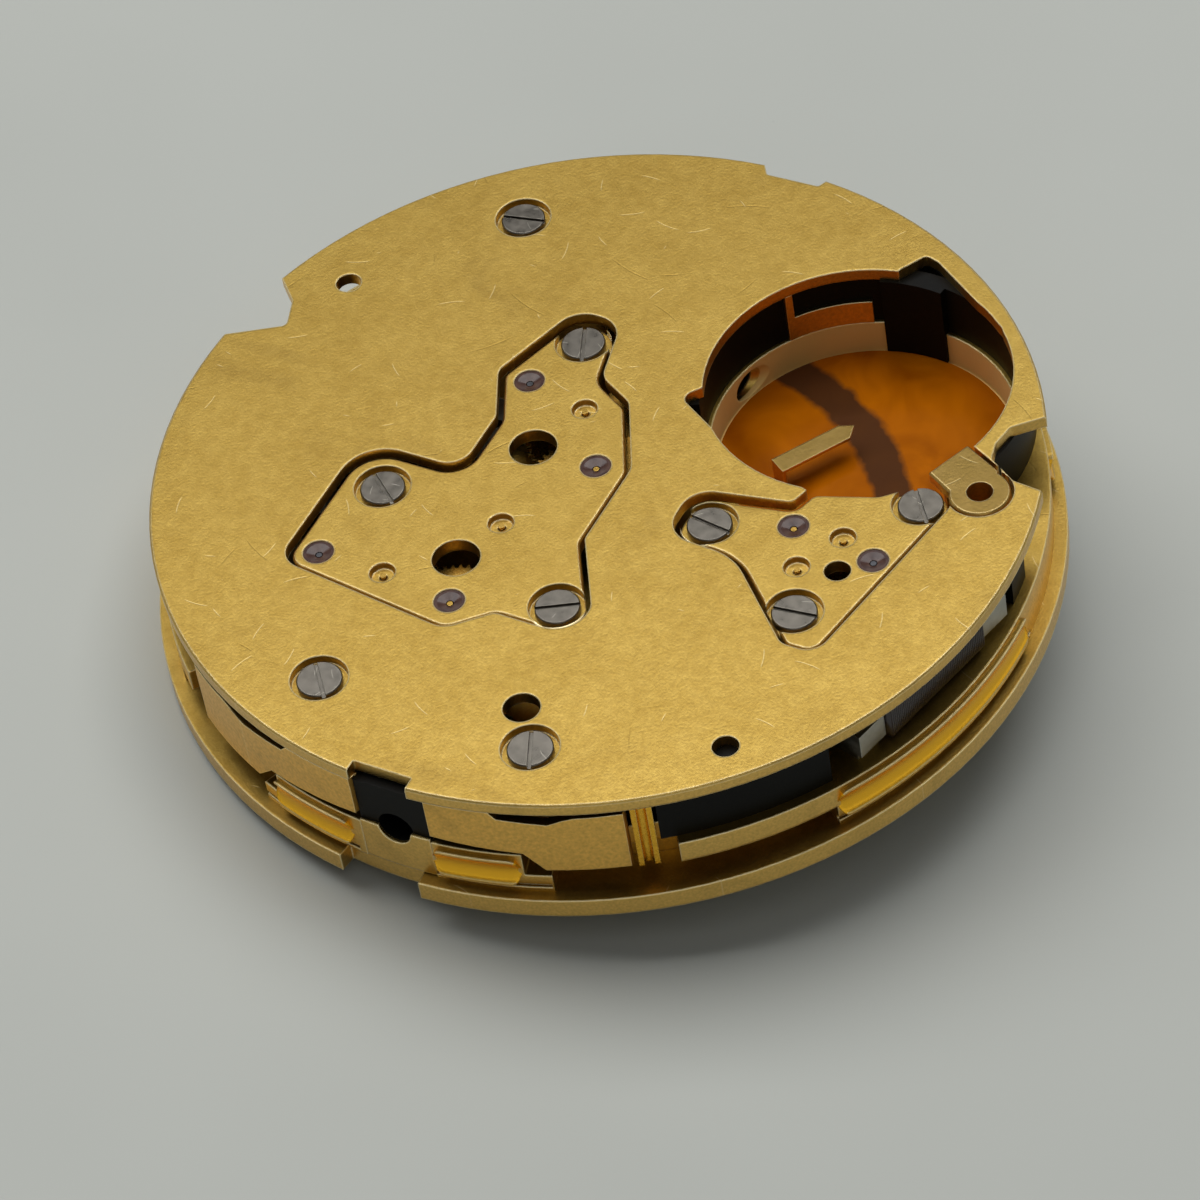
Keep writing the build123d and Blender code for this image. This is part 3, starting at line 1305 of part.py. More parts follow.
pieces = {
    "dial_plate": dial_plate(),
    "main_plate": main_plate(),
    "back_plate": back_plate(),
    "large_train_bridge": large_bridge(),
    "small_train_bridge": small_bridge(),
    "counter_bridge": counter_bridge(),
    "bridge_screws": bridge_screw_set(),
    "back_plate_screws": plate_screw_set(),
    "counter_bridge_screws": counter_screws(),
    "coil_screws": coil_screws(),
    "date_cover_screws": cover_screws(),
    "large_bridge_jewels": jewels(LARGE_JEWELS),
    "small_bridge_jewels": jewels(SMALL_JEWELS),
    "centre_tube": centre_tube(),
    "idler_stud": idler_stud(),
    "yoke_stud": yoke_stud(),
    "battery_insulator": well_insulator(),
    "battery_well_liner": well_liner(),
    "battery_contact_band": well_band(),
    "negative_contact_strip": negative_strip(),
    "positive_clamp": positive_clamp(),
    "stem_block": stem_block(),
    "stem_bed": stem_bed(),
    "circuit_spacer": circuit_spacer(),
    "circuit_board": circuit_board(),
    "circuit_chip": circuit_chip(),
    "quartz_can": quartz_can(),
    "rim_post": rim_post(),
    "time_rotor": rotor("time_rotor", "seconds_intermediate", TRAIN_TEETH["seconds_intermediate"]),
    "seconds_intermediate_wheel": intermediate(
        "seconds_intermediate", "time_rotor", TRAIN_TEETH["seconds_intermediate"],
        "small_seconds", TRAIN_TEETH["small_seconds"],
    ),
    "small_seconds_wheel": small_seconds_wheel(),
    "third_wheel": third_wheel(),
    "minute_transfer_wheel": transfer_wheel(),
    "minute_idler": minute_idler(),
    "centre_wheel": centre_wheel(),
    "minute_wheel": minute_wheel(),
    "hour_wheel": hour_wheel(),
    "setting_wheel": setting_wheel(),
    "chrono_seconds_wheel": chrono_seconds_wheel(),
    "date_ring": date_ring(),
    "date_drive_wheel": date_drive_wheel(),
    "date_jumper": date_jumper(),
    "date_cover": date_cover(),
    "sliding_pinion": sliding_pinion(),
    "yoke": yoke(),
    "setting_lever": setting_lever(),
    "pusher_spring_2h": pusher_spring("2h"),
    "pusher_spring_4h": pusher_spring("4h"),
}
counter_tops = {"right": bridge_pivot_top, "left": counter_pivot_top}
for side, top in counter_tops.items():
    wheel_teeth = TRAIN_TEETH[side + "_intermediate"]
    counter_teeth = TRAIN_TEETH[side + "_counter"]
    mate = side + "_intermediate"
    pieces[side + "_counter_rotor"] = rotor(side + "_rotor", mate, wheel_teeth)
    pieces[side + "_counter_intermediate_wheel"] = intermediate(
        mate, side + "_rotor", wheel_teeth, side + "_counter", counter_teeth
    )
    pieces[side + "_counter_wheel"] = counter_wheel(side + "_counter", mate, counter_teeth, top)
pieces["chrono_rotor"] = rotor("chrono_rotor", "chrono_intermediate", TRAIN_TEETH["chrono_intermediate"])
pieces["chrono_intermediate_wheel"] = intermediate(
    "chrono_intermediate", "chrono_rotor", TRAIN_TEETH["chrono_intermediate"],
    "centre", TRAIN_TEETH["chrono_seconds"],
)
pieces["stators"] = [solid for name in MOTORS for solid in stator(name)]
pieces["coil_cores"] = [solid for name in MOTORS for solid in coil_core(name)]
pieces["motor_windings"] = [solid for name in MOTORS for solid in winding(name)]

os.makedirs("parts", exist_ok=True)
for name, solids in pieces.items():
    children = [item for solid in solids for item in solid.solids()]
    export_step(Compound(children=children), f"parts/{name}.step")
print("wrote", len(pieces), "pieces")
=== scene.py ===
import json
import math

import bmesh
import bpy
from mathutils import Matrix, Vector


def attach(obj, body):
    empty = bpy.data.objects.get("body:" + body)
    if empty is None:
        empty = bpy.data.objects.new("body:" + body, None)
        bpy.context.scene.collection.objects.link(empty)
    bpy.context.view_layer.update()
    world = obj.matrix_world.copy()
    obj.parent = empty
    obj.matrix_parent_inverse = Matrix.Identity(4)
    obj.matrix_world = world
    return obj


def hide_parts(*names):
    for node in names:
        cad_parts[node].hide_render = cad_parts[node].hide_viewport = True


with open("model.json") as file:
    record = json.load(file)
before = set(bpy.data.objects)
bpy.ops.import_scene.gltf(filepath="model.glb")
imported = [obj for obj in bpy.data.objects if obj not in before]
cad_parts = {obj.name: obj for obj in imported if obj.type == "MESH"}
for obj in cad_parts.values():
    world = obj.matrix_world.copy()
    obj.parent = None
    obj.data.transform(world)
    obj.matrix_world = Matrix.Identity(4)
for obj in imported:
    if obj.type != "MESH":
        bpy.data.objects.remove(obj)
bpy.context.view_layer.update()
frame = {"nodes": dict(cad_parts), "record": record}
nodes = frame["nodes"]
mm = 0.001
print("frame loaded:", len(nodes), "nodes")


# Camera, at the photograph's own viewing place, in metres
cameraLook = {
    "place": (0.102377, 0.069580, 0.129301),
    "right": (-0.44897, 0.88490, -0.12403),
    "down": (0.69131, 0.25605, -0.67567),
    "lens": 163.12,
    "sensor": 36.0,
    "nearest": 0.005,
    "farthest": 10.0,
}


def placeCamera(look):
    data = bpy.data.cameras.new("camera")
    data.lens = look["lens"]
    data.sensor_width = look["sensor"]
    data.clip_start = look["nearest"]
    data.clip_end = look["farthest"]
    camera = bpy.data.objects.new("camera", data)
    bpy.context.collection.objects.link(camera)
    right = Vector(look["right"]).normalized()
    up = -Vector(look["down"])
    up = (up - up.dot(right) * right).normalized()
    back = right.cross(up)
    turned = Matrix((right, up, back)).transposed().to_4x4()
    camera.matrix_world = Matrix.Translation(look["place"]) @ turned
    bpy.context.scene.camera = camera


placeCamera(cameraLook)
print("camera placed")


# Colours are written as sRGB hex values and used as linear ones
def hexColour(text):
    values = [int(text[i:i + 2], 16) / 255 for i in (1, 3, 5)]
    linear = [v / 12.92 if v <= 0.04045 else ((v + 0.055) / 1.055) ** 2.4 for v in values]
    return (*linear, 1.0)


# Adds one node and gives back its outputs. An input takes a value, or the socket that drives it.
def addNode(tree, kind, settings=None, inputs=None):
    node = tree.nodes.new(kind)
    for key, value in (settings or {}).items():
        setattr(node, key, value)
    for key, value in (inputs or {}).items():
        if isinstance(value, bpy.types.NodeSocket):
            tree.links.new(value, node.inputs[key])
        else:
            node.inputs[key].default_value = value
    return node.outputs


# Settings of the Math and Vector Math nodes
add, subtract, multiply = {"operation": "ADD"}, {"operation": "SUBTRACT"}, {"operation": "MULTIPLY"}
maximum, absolute, length = {"operation": "MAXIMUM"}, {"operation": "ABSOLUTE"}, {"operation": "LENGTH"}
above, below = {"operation": "GREATER_THAN"}, {"operation": "LESS_THAN"}
scaleBy, dotProduct = {"operation": "SCALE"}, {"operation": "DOT_PRODUCT"}


# Every surface pattern sits on Object coordinates, in metres
def newMaterial(name):
    material = bpy.data.materials.new(name)
    material.use_nodes = True
    tree = material.node_tree
    tree.nodes.clear()
    return material, tree, addNode(tree, "ShaderNodeTexCoord")["Object"]


def coatSurface(tree, inputs):
    surface = addNode(tree, "ShaderNodeBsdfPrincipled", None, inputs)["BSDF"]
    addNode(tree, "ShaderNodeOutputMaterial", None, {"Surface": surface})


# Soft spots of one size: how rich and bent they are, and the band between none and full
patterns = {
    "cloud": {"detail": 6.0, "bend": 0.6, "low": 0.35, "high": 0.7},
    "mottle": {"detail": 3.0, "bend": 0.3, "low": 0.38, "high": 0.66},
    "grain": {"detail": 4.0, "bend": 0.0, "low": 0.3, "high": 0.7},
    "stain": {"detail": 8.0, "bend": 1.2, "low": 0.58, "high": 0.8},
    "depth": {"detail": 2.0, "bend": 0.0, "low": 0.3, "high": 0.7},
    "ripple": {"detail": 3.0, "bend": 0.8, "low": 0.3, "high": 0.7},
    "plain": {"detail": 3.0, "bend": 0.0, "low": 0.3, "high": 0.7},
    "turn": {"detail": 2.0, "bend": 0.0, "low": 0.35, "high": 0.65},
    "speck": {"detail": 2.0, "bend": 0.0, "low": 0.79, "high": 0.82},
}


def spots(tree, place, sizeMm, pattern):
    wanted = {
        "Vector": place, "Scale": 1 / (sizeMm * mm),
        "Detail": pattern["detail"], "Distortion": pattern["bend"],
    }
    relief = addNode(tree, "ShaderNodeTexNoise", None, wanted)["Fac"]
    band = {"Value": relief, "From Min": pattern["low"], "From Max": pattern["high"]}
    return {"relief": relief, "share": addNode(tree, "ShaderNodeMapRange", None, band)["Result"]}


# Lays a tone over a colour, as much as its mask and its strength say
colourMix = {"data_type": "RGBA", "blend_type": "MIX"}
mixSockets = {"share": 0, "under": 6, "over": 7, "mixed": 2}


def layTone(tree, under, tone, mask, strength=1.0):
    share = addNode(tree, "ShaderNodeMath", multiply, {0: mask, 1: strength})[0]
    inputs = {mixSockets["share"]: share, mixSockets["under"]: under, mixSockets["over"]: hexColour(tone)}
    return addNode(tree, "ShaderNodeMix", colourMix, inputs)[mixSockets["mixed"]]


# Scratches: one short, slightly bent stroke in each cell, laid in any direction. Real ones are finer.
strokeLook = {"bend": 0.3, "solidShare": 0.3, "reach": 0.4, "fade": 0.1}
darkNicks = {"cellMm": 2.6, "widthMm": 0.035, "share": 0.35}
paleNicks = {"cellMm": 1.3, "widthMm": 0.025, "share": 0.3}
lapLines = {"cellMm": 0.7, "widthMm": 0.02, "share": 0.6}


def scratches(tree, place, look):
    perCell = {0: place, "Scale": 1 / (look["cellMm"] * mm)}
    scaled = addNode(tree, "ShaderNodeVectorMath", scaleBy, perCell)[0]
    oneEach = {"Vector": scaled, "Scale": 1.0}
    cells = addNode(tree, "ShaderNodeTexVoronoi", {"voronoi_dimensions": "2D"}, oneEach)
    away = addNode(tree, "ShaderNodeVectorMath", subtract, {0: scaled, 1: cells["Position"]})[0]
    chance = addNode(tree, "ShaderNodeSeparateColor", None, {"Color": cells["Color"]})
    angle = addNode(tree, "ShaderNodeMath", multiply, {0: chance["Red"], 1: 2 * math.pi})[0]
    anyWay = {"Vector": away, "Angle": angle}
    turned = addNode(tree, "ShaderNodeVectorRotate", {"rotation_type": "Z_AXIS"}, anyWay)
    parts = addNode(tree, "ShaderNodeSeparateXYZ", None, {"Vector": turned[0]})
    along = addNode(tree, "ShaderNodeMath", absolute, {0: parts["X"]})[0]
    squared = addNode(tree, "ShaderNodeMath", multiply, {0: along, 1: along})[0]
    bend = addNode(tree, "ShaderNodeMath", multiply, {0: squared, 1: strokeLook["bend"]})[0]
    off = addNode(tree, "ShaderNodeMath", subtract, {0: parts["Y"], 1: bend})[0]
    across = addNode(tree, "ShaderNodeMath", absolute, {0: off})[0]
    width = look["widthMm"] / look["cellMm"]
    band = {"Value": across, "From Min": width, "From Max": strokeLook["solidShare"] * width}
    line = addNode(tree, "ShaderNodeMapRange", None, band)["Result"]
    reach = addNode(tree, "ShaderNodeMath", multiply, {0: chance["Green"], 1: strokeLook["reach"]})[0]
    past = addNode(tree, "ShaderNodeMath", subtract, {0: along, 1: reach})[0]
    band = {"Value": past, "From Min": 0.0, "From Max": -strokeLook["fade"]}
    inside = addNode(tree, "ShaderNodeMapRange", None, band)["Result"]
    chosen = addNode(tree, "ShaderNodeMath", below, {0: chance["Blue"], 1: look["share"]})[0]
    stroke = addNode(tree, "ShaderNodeMath", multiply, {0: line, 1: inside})[0]
    return addNode(tree, "ShaderNodeMath", multiply, {0: stroke, 1: chosen})[0]


# How far the rounded normal turns away from the flat one: 0 on faces, up to 1 on edges. The mask lays a
# painted highlight along the edges.
edgeLook = {"samples": 6, "flatDot": 0.985, "fullHighlightDot": 0.8}


def roundedEdgeHighlight(tree, radiusMm):
    rounding = {"samples": edgeLook["samples"]}
    rounded = addNode(tree, "ShaderNodeBevel", rounding, {"Radius": radiusMm * mm})["Normal"]
    flat = addNode(tree, "ShaderNodeNewGeometry")["True Normal"]
    match = addNode(tree, "ShaderNodeVectorMath", dotProduct, {0: rounded, 1: flat})["Value"]
    band = {"Value": match, "From Min": edgeLook["flatDot"], "From Max": edgeLook["fullHighlightDot"]}
    return rounded, addNode(tree, "ShaderNodeMapRange", None, band)["Result"]


# Gold electroplating over cut brass: flat faces blasted matt, sides turned. The sides are painted lighter
# than the faces, a painted sheen, and the edges carry a painted highlight
platedGold = {
    "tone": "#a68840", "paleTone": "#b99b4f", "stainTone": "#7a6130", "paleScratchAndHighlightTone": "#fff0c0",
    "paintedSideSheenTone": "#e4bb66", "roughness": 0.36, "sideRoughness": 0.3, "grainMm": 0.09, "mottleMm": 0.4,
    "cloudMm": 1.8, "stainMm": 4.0, "edgeMm": 0.1, "scratch": 0.22, "bump": 0.25,
}

# Rolled sheet, pressed out and plated, with long soft clouds. Its flats are painted darker than the plate:
# painted shade for the deep well where its strip lies
shadedBladeGold = {
    "tone": "#846d38", "paleTone": "#937a45", "stainTone": "#715a32", "paleScratchAndHighlightTone": "#fbe9b4",
    "paintedSideSheenTone": "#efbe60", "roughness": 0.3, "sideRoughness": 0.34, "grainMm": 0.12, "mottleMm": 0.5,
    "cloudMm": 1.5, "stainMm": 3.0, "edgeMm": 0.06, "scratch": 0.2, "bump": 0.2,
}

# Drawn and turned post, plated bright: a deep yellow shine
postGold = {
    "tone": "#c9962c", "paleTone": "#dba93a", "stainTone": "#a87a24", "paleScratchAndHighlightTone": "#ffe9a0",
    "paintedSideSheenTone": "#f0b93c", "roughness": 0.22, "sideRoughness": 0.22, "grainMm": 0.1, "mottleMm": 0.4,
    "cloudMm": 1.0, "stainMm": 3.0, "edgeMm": 0.05, "scratch": 0.1, "bump": 0.1,
}

# Brass cut by a hob or a lathe, bare: fine grain, and a small painted highlight along its edges
cutBrass = {
    "tone": "#a8873f", "paleTone": "#b8954b", "stainTone": "#8a6d33", "paleScratchAndHighlightTone": "#e7c877",
    "paintedSideSheenTone": "#c9a353", "roughness": 0.25, "sideRoughness": 0.25, "grainMm": 0.05, "mottleMm": 0.3,
    "cloudMm": 0.8, "stainMm": 2.0, "edgeMm": 0.02, "scratch": 0.15, "bump": 0.1,
}

# Ring-shaped surfaces finished in another way: a turned trough, smoother and painted bright yellow as a
# painted reflection, and the matt wall of the well, painted pale as a painted sheen
troughSheenZone = {
    "place": (0.0, 0.0, 0.0), "low": 1.15, "high": 2.1, "inner": 14.4, "outer": 14.7, "tone": "#f2b630",
    "roughness": 0.24,
}
# The well wall's pale tone is a painted sheen for the light it catches; its matt roughness is its own
wellWallSheen = {
    "place": (-6.33, 6.42, 0.0), "low": 0.9, "high": 2.34, "inner": 4.8, "outer": 5.25, "tone": "#f2d896",
    "roughness": 0.8,
}

# What all golds share: which slopes count as sides, whose lighter tone is a painted sheen, and how strong
# each layer of wear is
goldWearAndSideSheen = {
    "faceSlope": 0.85, "sideSlope": 0.5, "cast": 0.5, "grain": 0.3, "stain": 0.4, "nickTone": "#5d4820",
    "grainRoughness": 0.08, "bumpMm": 0.012,
}


# 1 between the ring's radii and heights, 0 elsewhere
def ringZone(tree, place, zone):
    centre = tuple(-value * mm for value in zone["place"])
    moved = addNode(tree, "ShaderNodeVectorMath", add, {0: place, 1: centre})[0]
    flat = addNode(tree, "ShaderNodeVectorMath", multiply, {0: moved, 1: (1.0, 1.0, 0.0)})[0]
    reach = addNode(tree, "ShaderNodeVectorMath", length, {0: flat})["Value"]
    height = addNode(tree, "ShaderNodeSeparateXYZ", None, {"Vector": moved})["Z"]
    inside = 1.0
    for value, test, limit in (
        (height, above, "low"), (height, below, "high"), (reach, above, "inner"), (reach, below, "outer"),
    ):
        kept = addNode(tree, "ShaderNodeMath", test, {0: value, 1: zone[limit] * mm})[0]
        inside = addNode(tree, "ShaderNodeMath", multiply, {0: inside, 1: kept})[0]
    return inside


def goldMetal(name, look, zones=()):
    material, tree, place = newMaterial(name)
    clouds, mottle, grain, stains = [
        spots(tree, place, look[kind + "Mm"], patterns[kind])["share"]
        for kind in ("cloud", "mottle", "grain", "stain")
    ]
    dark, pale = scratches(tree, place, darkNicks), scratches(tree, place, paleNicks)
    roundedNormal, edge = roundedEdgeHighlight(tree, look["edgeMm"])

    surface = addNode(tree, "ShaderNodeNewGeometry")["True Normal"]
    tilt = addNode(tree, "ShaderNodeSeparateXYZ", None, {"Vector": surface})["Z"]
    slope = addNode(tree, "ShaderNodeMath", absolute, {0: tilt})[0]
    # Steep faces get the lighter side tone: a painted sheen for the light they catch
    band = {"Value": slope, "From Min": goldWearAndSideSheen["faceSlope"], "From Max": goldWearAndSideSheen["sideSlope"]}
    side = addNode(tree, "ShaderNodeMapRange", None, band)["Result"]

    cast = addNode(tree, "ShaderNodeMath", add, {0: clouds, 1: mottle})[0]
    colour = hexColour(look["tone"])
    for tone, mask, strength in (
        (look["paleTone"], cast, goldWearAndSideSheen["cast"]),
        # painted sheen on the sides
        (look["paintedSideSheenTone"], side, 1.0),
        (look["stainTone"], grain, goldWearAndSideSheen["grain"]),
        (look["stainTone"], stains, goldWearAndSideSheen["stain"]),
        (goldWearAndSideSheen["nickTone"], dark, look["scratch"]),
        (look["paleScratchAndHighlightTone"], pale, look["scratch"]),
        # painted highlight along the edges; the pale scratches above are real wear
        (look["paleScratchAndHighlightTone"], edge, 1.0),
    ):
        colour = layTone(tree, colour, tone, mask, strength)

    band = {"Value": side, "To Min": look["roughness"], "To Max": look["sideRoughness"]}
    matt = addNode(tree, "ShaderNodeMapRange", None, band)["Result"]
    rise = addNode(tree, "ShaderNodeMath", multiply, {0: grain, 1: goldWearAndSideSheen["grainRoughness"]})[0]
    rough = addNode(tree, "ShaderNodeMath", add, {0: matt, 1: rise})[0]
    # Ring zones lay their own tone and roughness; the trough's bright yellow is a painted reflection and
    # the well wall's pale tone a painted sheen
    for zone in zones:
        inside = ringZone(tree, place, zone)
        colour = layTone(tree, colour, zone["tone"], inside)
        band = {"Value": inside, "To Min": rough, "To Max": zone["roughness"]}
        rough = addNode(tree, "ShaderNodeMapRange", None, band)["Result"]

    cut = addNode(tree, "ShaderNodeMath", maximum, {0: dark, 1: pale})[0]
    relief = addNode(tree, "ShaderNodeMath", subtract, {0: grain, 1: cut})[0]
    raised = addNode(tree, "ShaderNodeBump", None, {
        "Strength": look["bump"], "Distance": goldWearAndSideSheen["bumpMm"] * mm, "Height": relief,
        "Normal": roundedNormal,
    })["Normal"]
    coatSurface(tree, {"Base Color": colour, "Roughness": rough, "Metallic": 1.0, "Normal": raised})
    return material


# Nickelled screw steel: turned and lapped, grey with a warm cast
screwSteel = {"tone": "#625e57", "paleTone": "#736e66", "paleScratchAndHighlightTone": "#c4beb1", "roughness": 0.32}

# Hardened spring steel: ground and polished, clear grey
springSteel = {"tone": "#8b8a86", "paleTone": "#a5a49f", "paleScratchAndHighlightTone": "#d8d6cf", "roughness": 0.24}

# Annealed soft iron: stamped and tumbled, pale and dull
softIron = {"tone": "#95938a", "paleTone": "#adaba2", "paleScratchAndHighlightTone": "#cfcdc3", "roughness": 0.38}

# Sintered magnet alloy: pressed powder, dark and rough
magnetAlloy = {"tone": "#3f4042", "paleTone": "#55565a", "paleScratchAndHighlightTone": "#8a8b8e", "roughness": 0.45}

# What these metals share: soft clouds, fine lapping lines and a painted highlight along the edges
groundWearAndHighlight = {
    "cloudMm": 0.35, "lines": 0.3, "edgeMm": 0.03, "edge": 0.7, "smoother": 0.05, "rougher": 0.08,
    "bump": 0.2, "bumpMm": 0.008,
}


def groundSteel(name, look):
    material, tree, place = newMaterial(name)
    clouds = spots(tree, place, groundWearAndHighlight["cloudMm"], patterns["grain"])["share"]
    lines = scratches(tree, place, lapLines)
    roundedNormal, edge = roundedEdgeHighlight(tree, groundWearAndHighlight["edgeMm"])
    colour = layTone(tree, hexColour(look["tone"]), look["paleTone"], clouds)
    colour = layTone(tree, colour, look["paleScratchAndHighlightTone"], lines, groundWearAndHighlight["lines"])
    # painted highlight along the edges
    colour = layTone(tree, colour, look["paleScratchAndHighlightTone"], edge, groundWearAndHighlight["edge"])
    rough = addNode(tree, "ShaderNodeMapRange", None, {
        "Value": clouds, "To Min": look["roughness"] - groundWearAndHighlight["smoother"],
        "To Max": look["roughness"] + groundWearAndHighlight["rougher"],
    })["Result"]
    raised = addNode(tree, "ShaderNodeBump", None, {
        "Strength": groundWearAndHighlight["bump"], "Distance": groundWearAndHighlight["bumpMm"] * mm, "Height": lines,
        "Normal": roundedNormal,
    })["Normal"]
    coatSurface(tree, {"Base Color": colour, "Roughness": rough, "Metallic": 1.0, "Normal": raised})
    return material


# Synthetic ruby: fused and lapped, dark wine red with a polished skin
rubyLook = {
    "tone": "#3e2723", "paleTone": "#573d34", "depthMm": 0.25,
    "roughness": 0.2, "ior": 1.77, "specular": 0.2,
}


def rubyStone(name, look):
    material, tree, place = newMaterial(name)
    depth = spots(tree, place, look["depthMm"], patterns["depth"])["share"]
    coatSurface(tree, {
        "Base Color": layTone(tree, hexColour(look["tone"]), look["paleTone"], depth),
        "Roughness": look["roughness"], "IOR": look["ior"], "Specular IOR Level": look["specular"],
    })
    return material


# Polyimide film: cast and stretched, clear amber. A dark ring is painted into it: painted shade for the
# plate's shaded ring groove under the film.
amberLook = {
    "tone": "#8c4600", "paleTone": "#b36203", "grooveShadeTone": "#33231a", "shine": "#ff9a20",
    "roughness": 0.2, "specular": 0.3, "rippleMm": 2.2, "bump": 0.2, "bumpMm": 0.05,
    "groove": 0.9, "grooveShadeEdges": ((8.95, 9.2), (10.5, 10.25)),
    "fray": {"sizeMm": 0.7, "detail": 5.0, "reachMm": 0.5},
}


def amberFilm(name, look):
    material, tree, place = newMaterial(name)
    ripple = spots(tree, place, look["rippleMm"], patterns["ripple"])
    fray = look["fray"]
    ragged = {"Vector": place, "Scale": 1 / (fray["sizeMm"] * mm), "Detail": fray["detail"]}
    torn = addNode(tree, "ShaderNodeTexNoise", None, ragged)["Fac"]
    shift = addNode(tree, "ShaderNodeMath", multiply, {0: torn, 1: fray["reachMm"] * mm})[0]
    reach = addNode(tree, "ShaderNodeVectorMath", length, {0: place})["Value"]
    frayed = addNode(tree, "ShaderNodeMath", add, {0: reach, 1: shift})[0]
    # painted shade: a dark ring between the groove radii, with ragged edges
    groove = 1.0
    for clear, dark in look["grooveShadeEdges"]:
        band = {"Value": frayed, "From Min": clear * mm, "From Max": dark * mm}
        edge = addNode(tree, "ShaderNodeMapRange", None, band)["Result"]
        groove = addNode(tree, "ShaderNodeMath", multiply, {0: groove, 1: edge})[0]
    colour = layTone(tree, hexColour(look["tone"]), look["paleTone"], ripple["share"])
    relief = {"Strength": look["bump"], "Distance": look["bumpMm"] * mm, "Height": ripple["relief"]}
    coatSurface(tree, {
        "Base Color": layTone(tree, colour, look["grooveShadeTone"], groove, look["groove"]),
        "Roughness": look["roughness"], "Specular IOR Level": look["specular"],
        "Specular Tint": hexColour(look["shine"]),
        "Normal": addNode(tree, "ShaderNodeBump", None, relief)["Normal"],
    })
    return material


# Glass-filled nylon: injection moulded, near black and satin
blackNylon = {"tone": "#060605", "paleTone": "#0e0e0c", "roughness": 0.5}

# Epoxy laminate: glass cloth pressed in resin, dull green
laminate = {"tone": "#1c3a1e", "paleTone": "#28502b", "roughness": 0.5}

# White lacquer: sprayed, with a soft shine
lacquer = {"tone": "#e4e2da", "paleTone": "#efeee8", "roughness": 0.35}

# Their fine texture, drawn coarser than it is so that it shows
sparkTexture = {"sizeMm": 0.06, "specular": 0.12, "bump": 0.25, "bumpMm": 0.01}


def mouldedPlastic(name, look):
    material, tree, place = newMaterial(name)
    grain = spots(tree, place, sparkTexture["sizeMm"], patterns["plain"])
    relief = {
        "Strength": sparkTexture["bump"], "Distance": sparkTexture["bumpMm"] * mm,
        "Height": grain["relief"],
    }
    coatSurface(tree, {
        "Base Color": layTone(tree, hexColour(look["tone"]), look["paleTone"], grain["share"]),
        "Roughness": look["roughness"], "Specular IOR Level": sparkTexture["specular"],
        "Normal": addNode(tree, "ShaderNodeBump", None, relief)["Normal"],
    })
    return material


# Enamelled copper wire: drawn and dipped, dark wine-coloured, glossy, with a broken shine
wireLook = {
    "tone": "#190d11", "paleTone": "#2a181d", "turnMm": 0.05, "roughness": 0.3, "coat": 0.4, "bump": 0.5,
    "bumpMm": 0.02,
}


def woundWire(name, look):
    material, tree, place = newMaterial(name)
    turns = spots(tree, place, look["turnMm"], patterns["turn"])
    relief = {"Strength": look["bump"], "Distance": look["bumpMm"] * mm, "Height": turns["relief"]}
    coatSurface(tree, {
        "Base Color": layTone(tree, hexColour(look["tone"]), look["paleTone"], turns["share"]),
        "Roughness": look["roughness"], "Coat Weight": look["coat"],
        "Normal": addNode(tree, "ShaderNodeBump", None, relief)["Normal"],
    })
    return material


materials = {
    "platedGold": goldMetal("gold electroplating", platedGold),
    "troughSheenGold": goldMetal("gold electroplating, turned, painted reflection", platedGold, (troughSheenZone,)),
    "wellSheenGold": goldMetal("gold electroplating, matt well wall, painted sheen", platedGold, (wellWallSheen,)),
    "shadedBladeGold": goldMetal("rolled sheet, gold plated, painted shade", shadedBladeGold),
    "postGold": goldMetal("drawn post, gold plated", postGold),
    "cutBrass": goldMetal("cut brass", cutBrass),
    "screwSteel": groundSteel("nickelled screw steel", screwSteel),
    "springSteel": groundSteel("hardened spring steel", springSteel),
    "softIron": groundSteel("annealed soft iron", softIron),
    "magnetAlloy": groundSteel("sintered magnet alloy", magnetAlloy),
    "ruby": rubyStone("synthetic ruby", rubyLook),
    "amberFilm": amberFilm("polyimide film", amberLook),
    "blackNylon": mouldedPlastic("glass-filled nylon", blackNylon),
    "laminate": mouldedPlastic("epoxy laminate", laminate),
    "lacquer": mouldedPlastic("white lacquer", lacquer),
    "woundWire": woundWire("enamelled copper wire", wireLook),
}
slotFinish = {
    "gold_plate": "platedGold",
    "gold_bright": "shadedBladeGold",
    "bare_brass": "cutBrass",
    "nickel_steel": "screwSteel",
    "spring_steel": "springSteel",
    "soft_iron": "softIron",
    "magnet": "magnetAlloy",
    "ruby": "ruby",
    "amber_film": "amberFilm",
    "black_plastic": "blackNylon",
    "circuit_laminate": "laminate",
    "white_print": "lacquer",
    "copper_winding": "woundWire",
}
nodeFinish = {"main_plate": "wellSheenGold", "rim_post": "postGold"}  # nodes with a finish of their own


def dressNodes():
    for entry in frame["record"]["subparts"]:
        finish = materials[nodeFinish.get(entry["node"], slotFinish[entry["material_slot"]])]
        mesh = nodes[entry["node"]].data
        mesh.materials.clear()
        mesh.materials.append(finish)


dressNodes()
print("finishes given to", len(nodes), "nodes")


# A new piece rides on a CAD body and takes one of the finishes made above
def addPiece(name, mesh, finish, body="frame"):
    piece = bpy.data.objects.new(name, mesh)
    bpy.context.collection.objects.link(piece)
    mesh.materials.clear()
    mesh.materials.append(materials[finish])
    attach(piece, body)
    return piece


# A closed bar through a row of rings: walls between the rings and a cap at each end
def addBar(shape, rings):
    previous = None
    for ring in rings:
        corners = [shape.verts.new(spot) for spot in ring]
        if previous:
            for side, corner in enumerate(corners):
                after = (side + 1) % len(corners)
                shape.faces.new((previous[side], previous[after], corners[after], corner))
        else:
            shape.faces.new(corners)
        previous = corners
    shape.faces.new(previous)


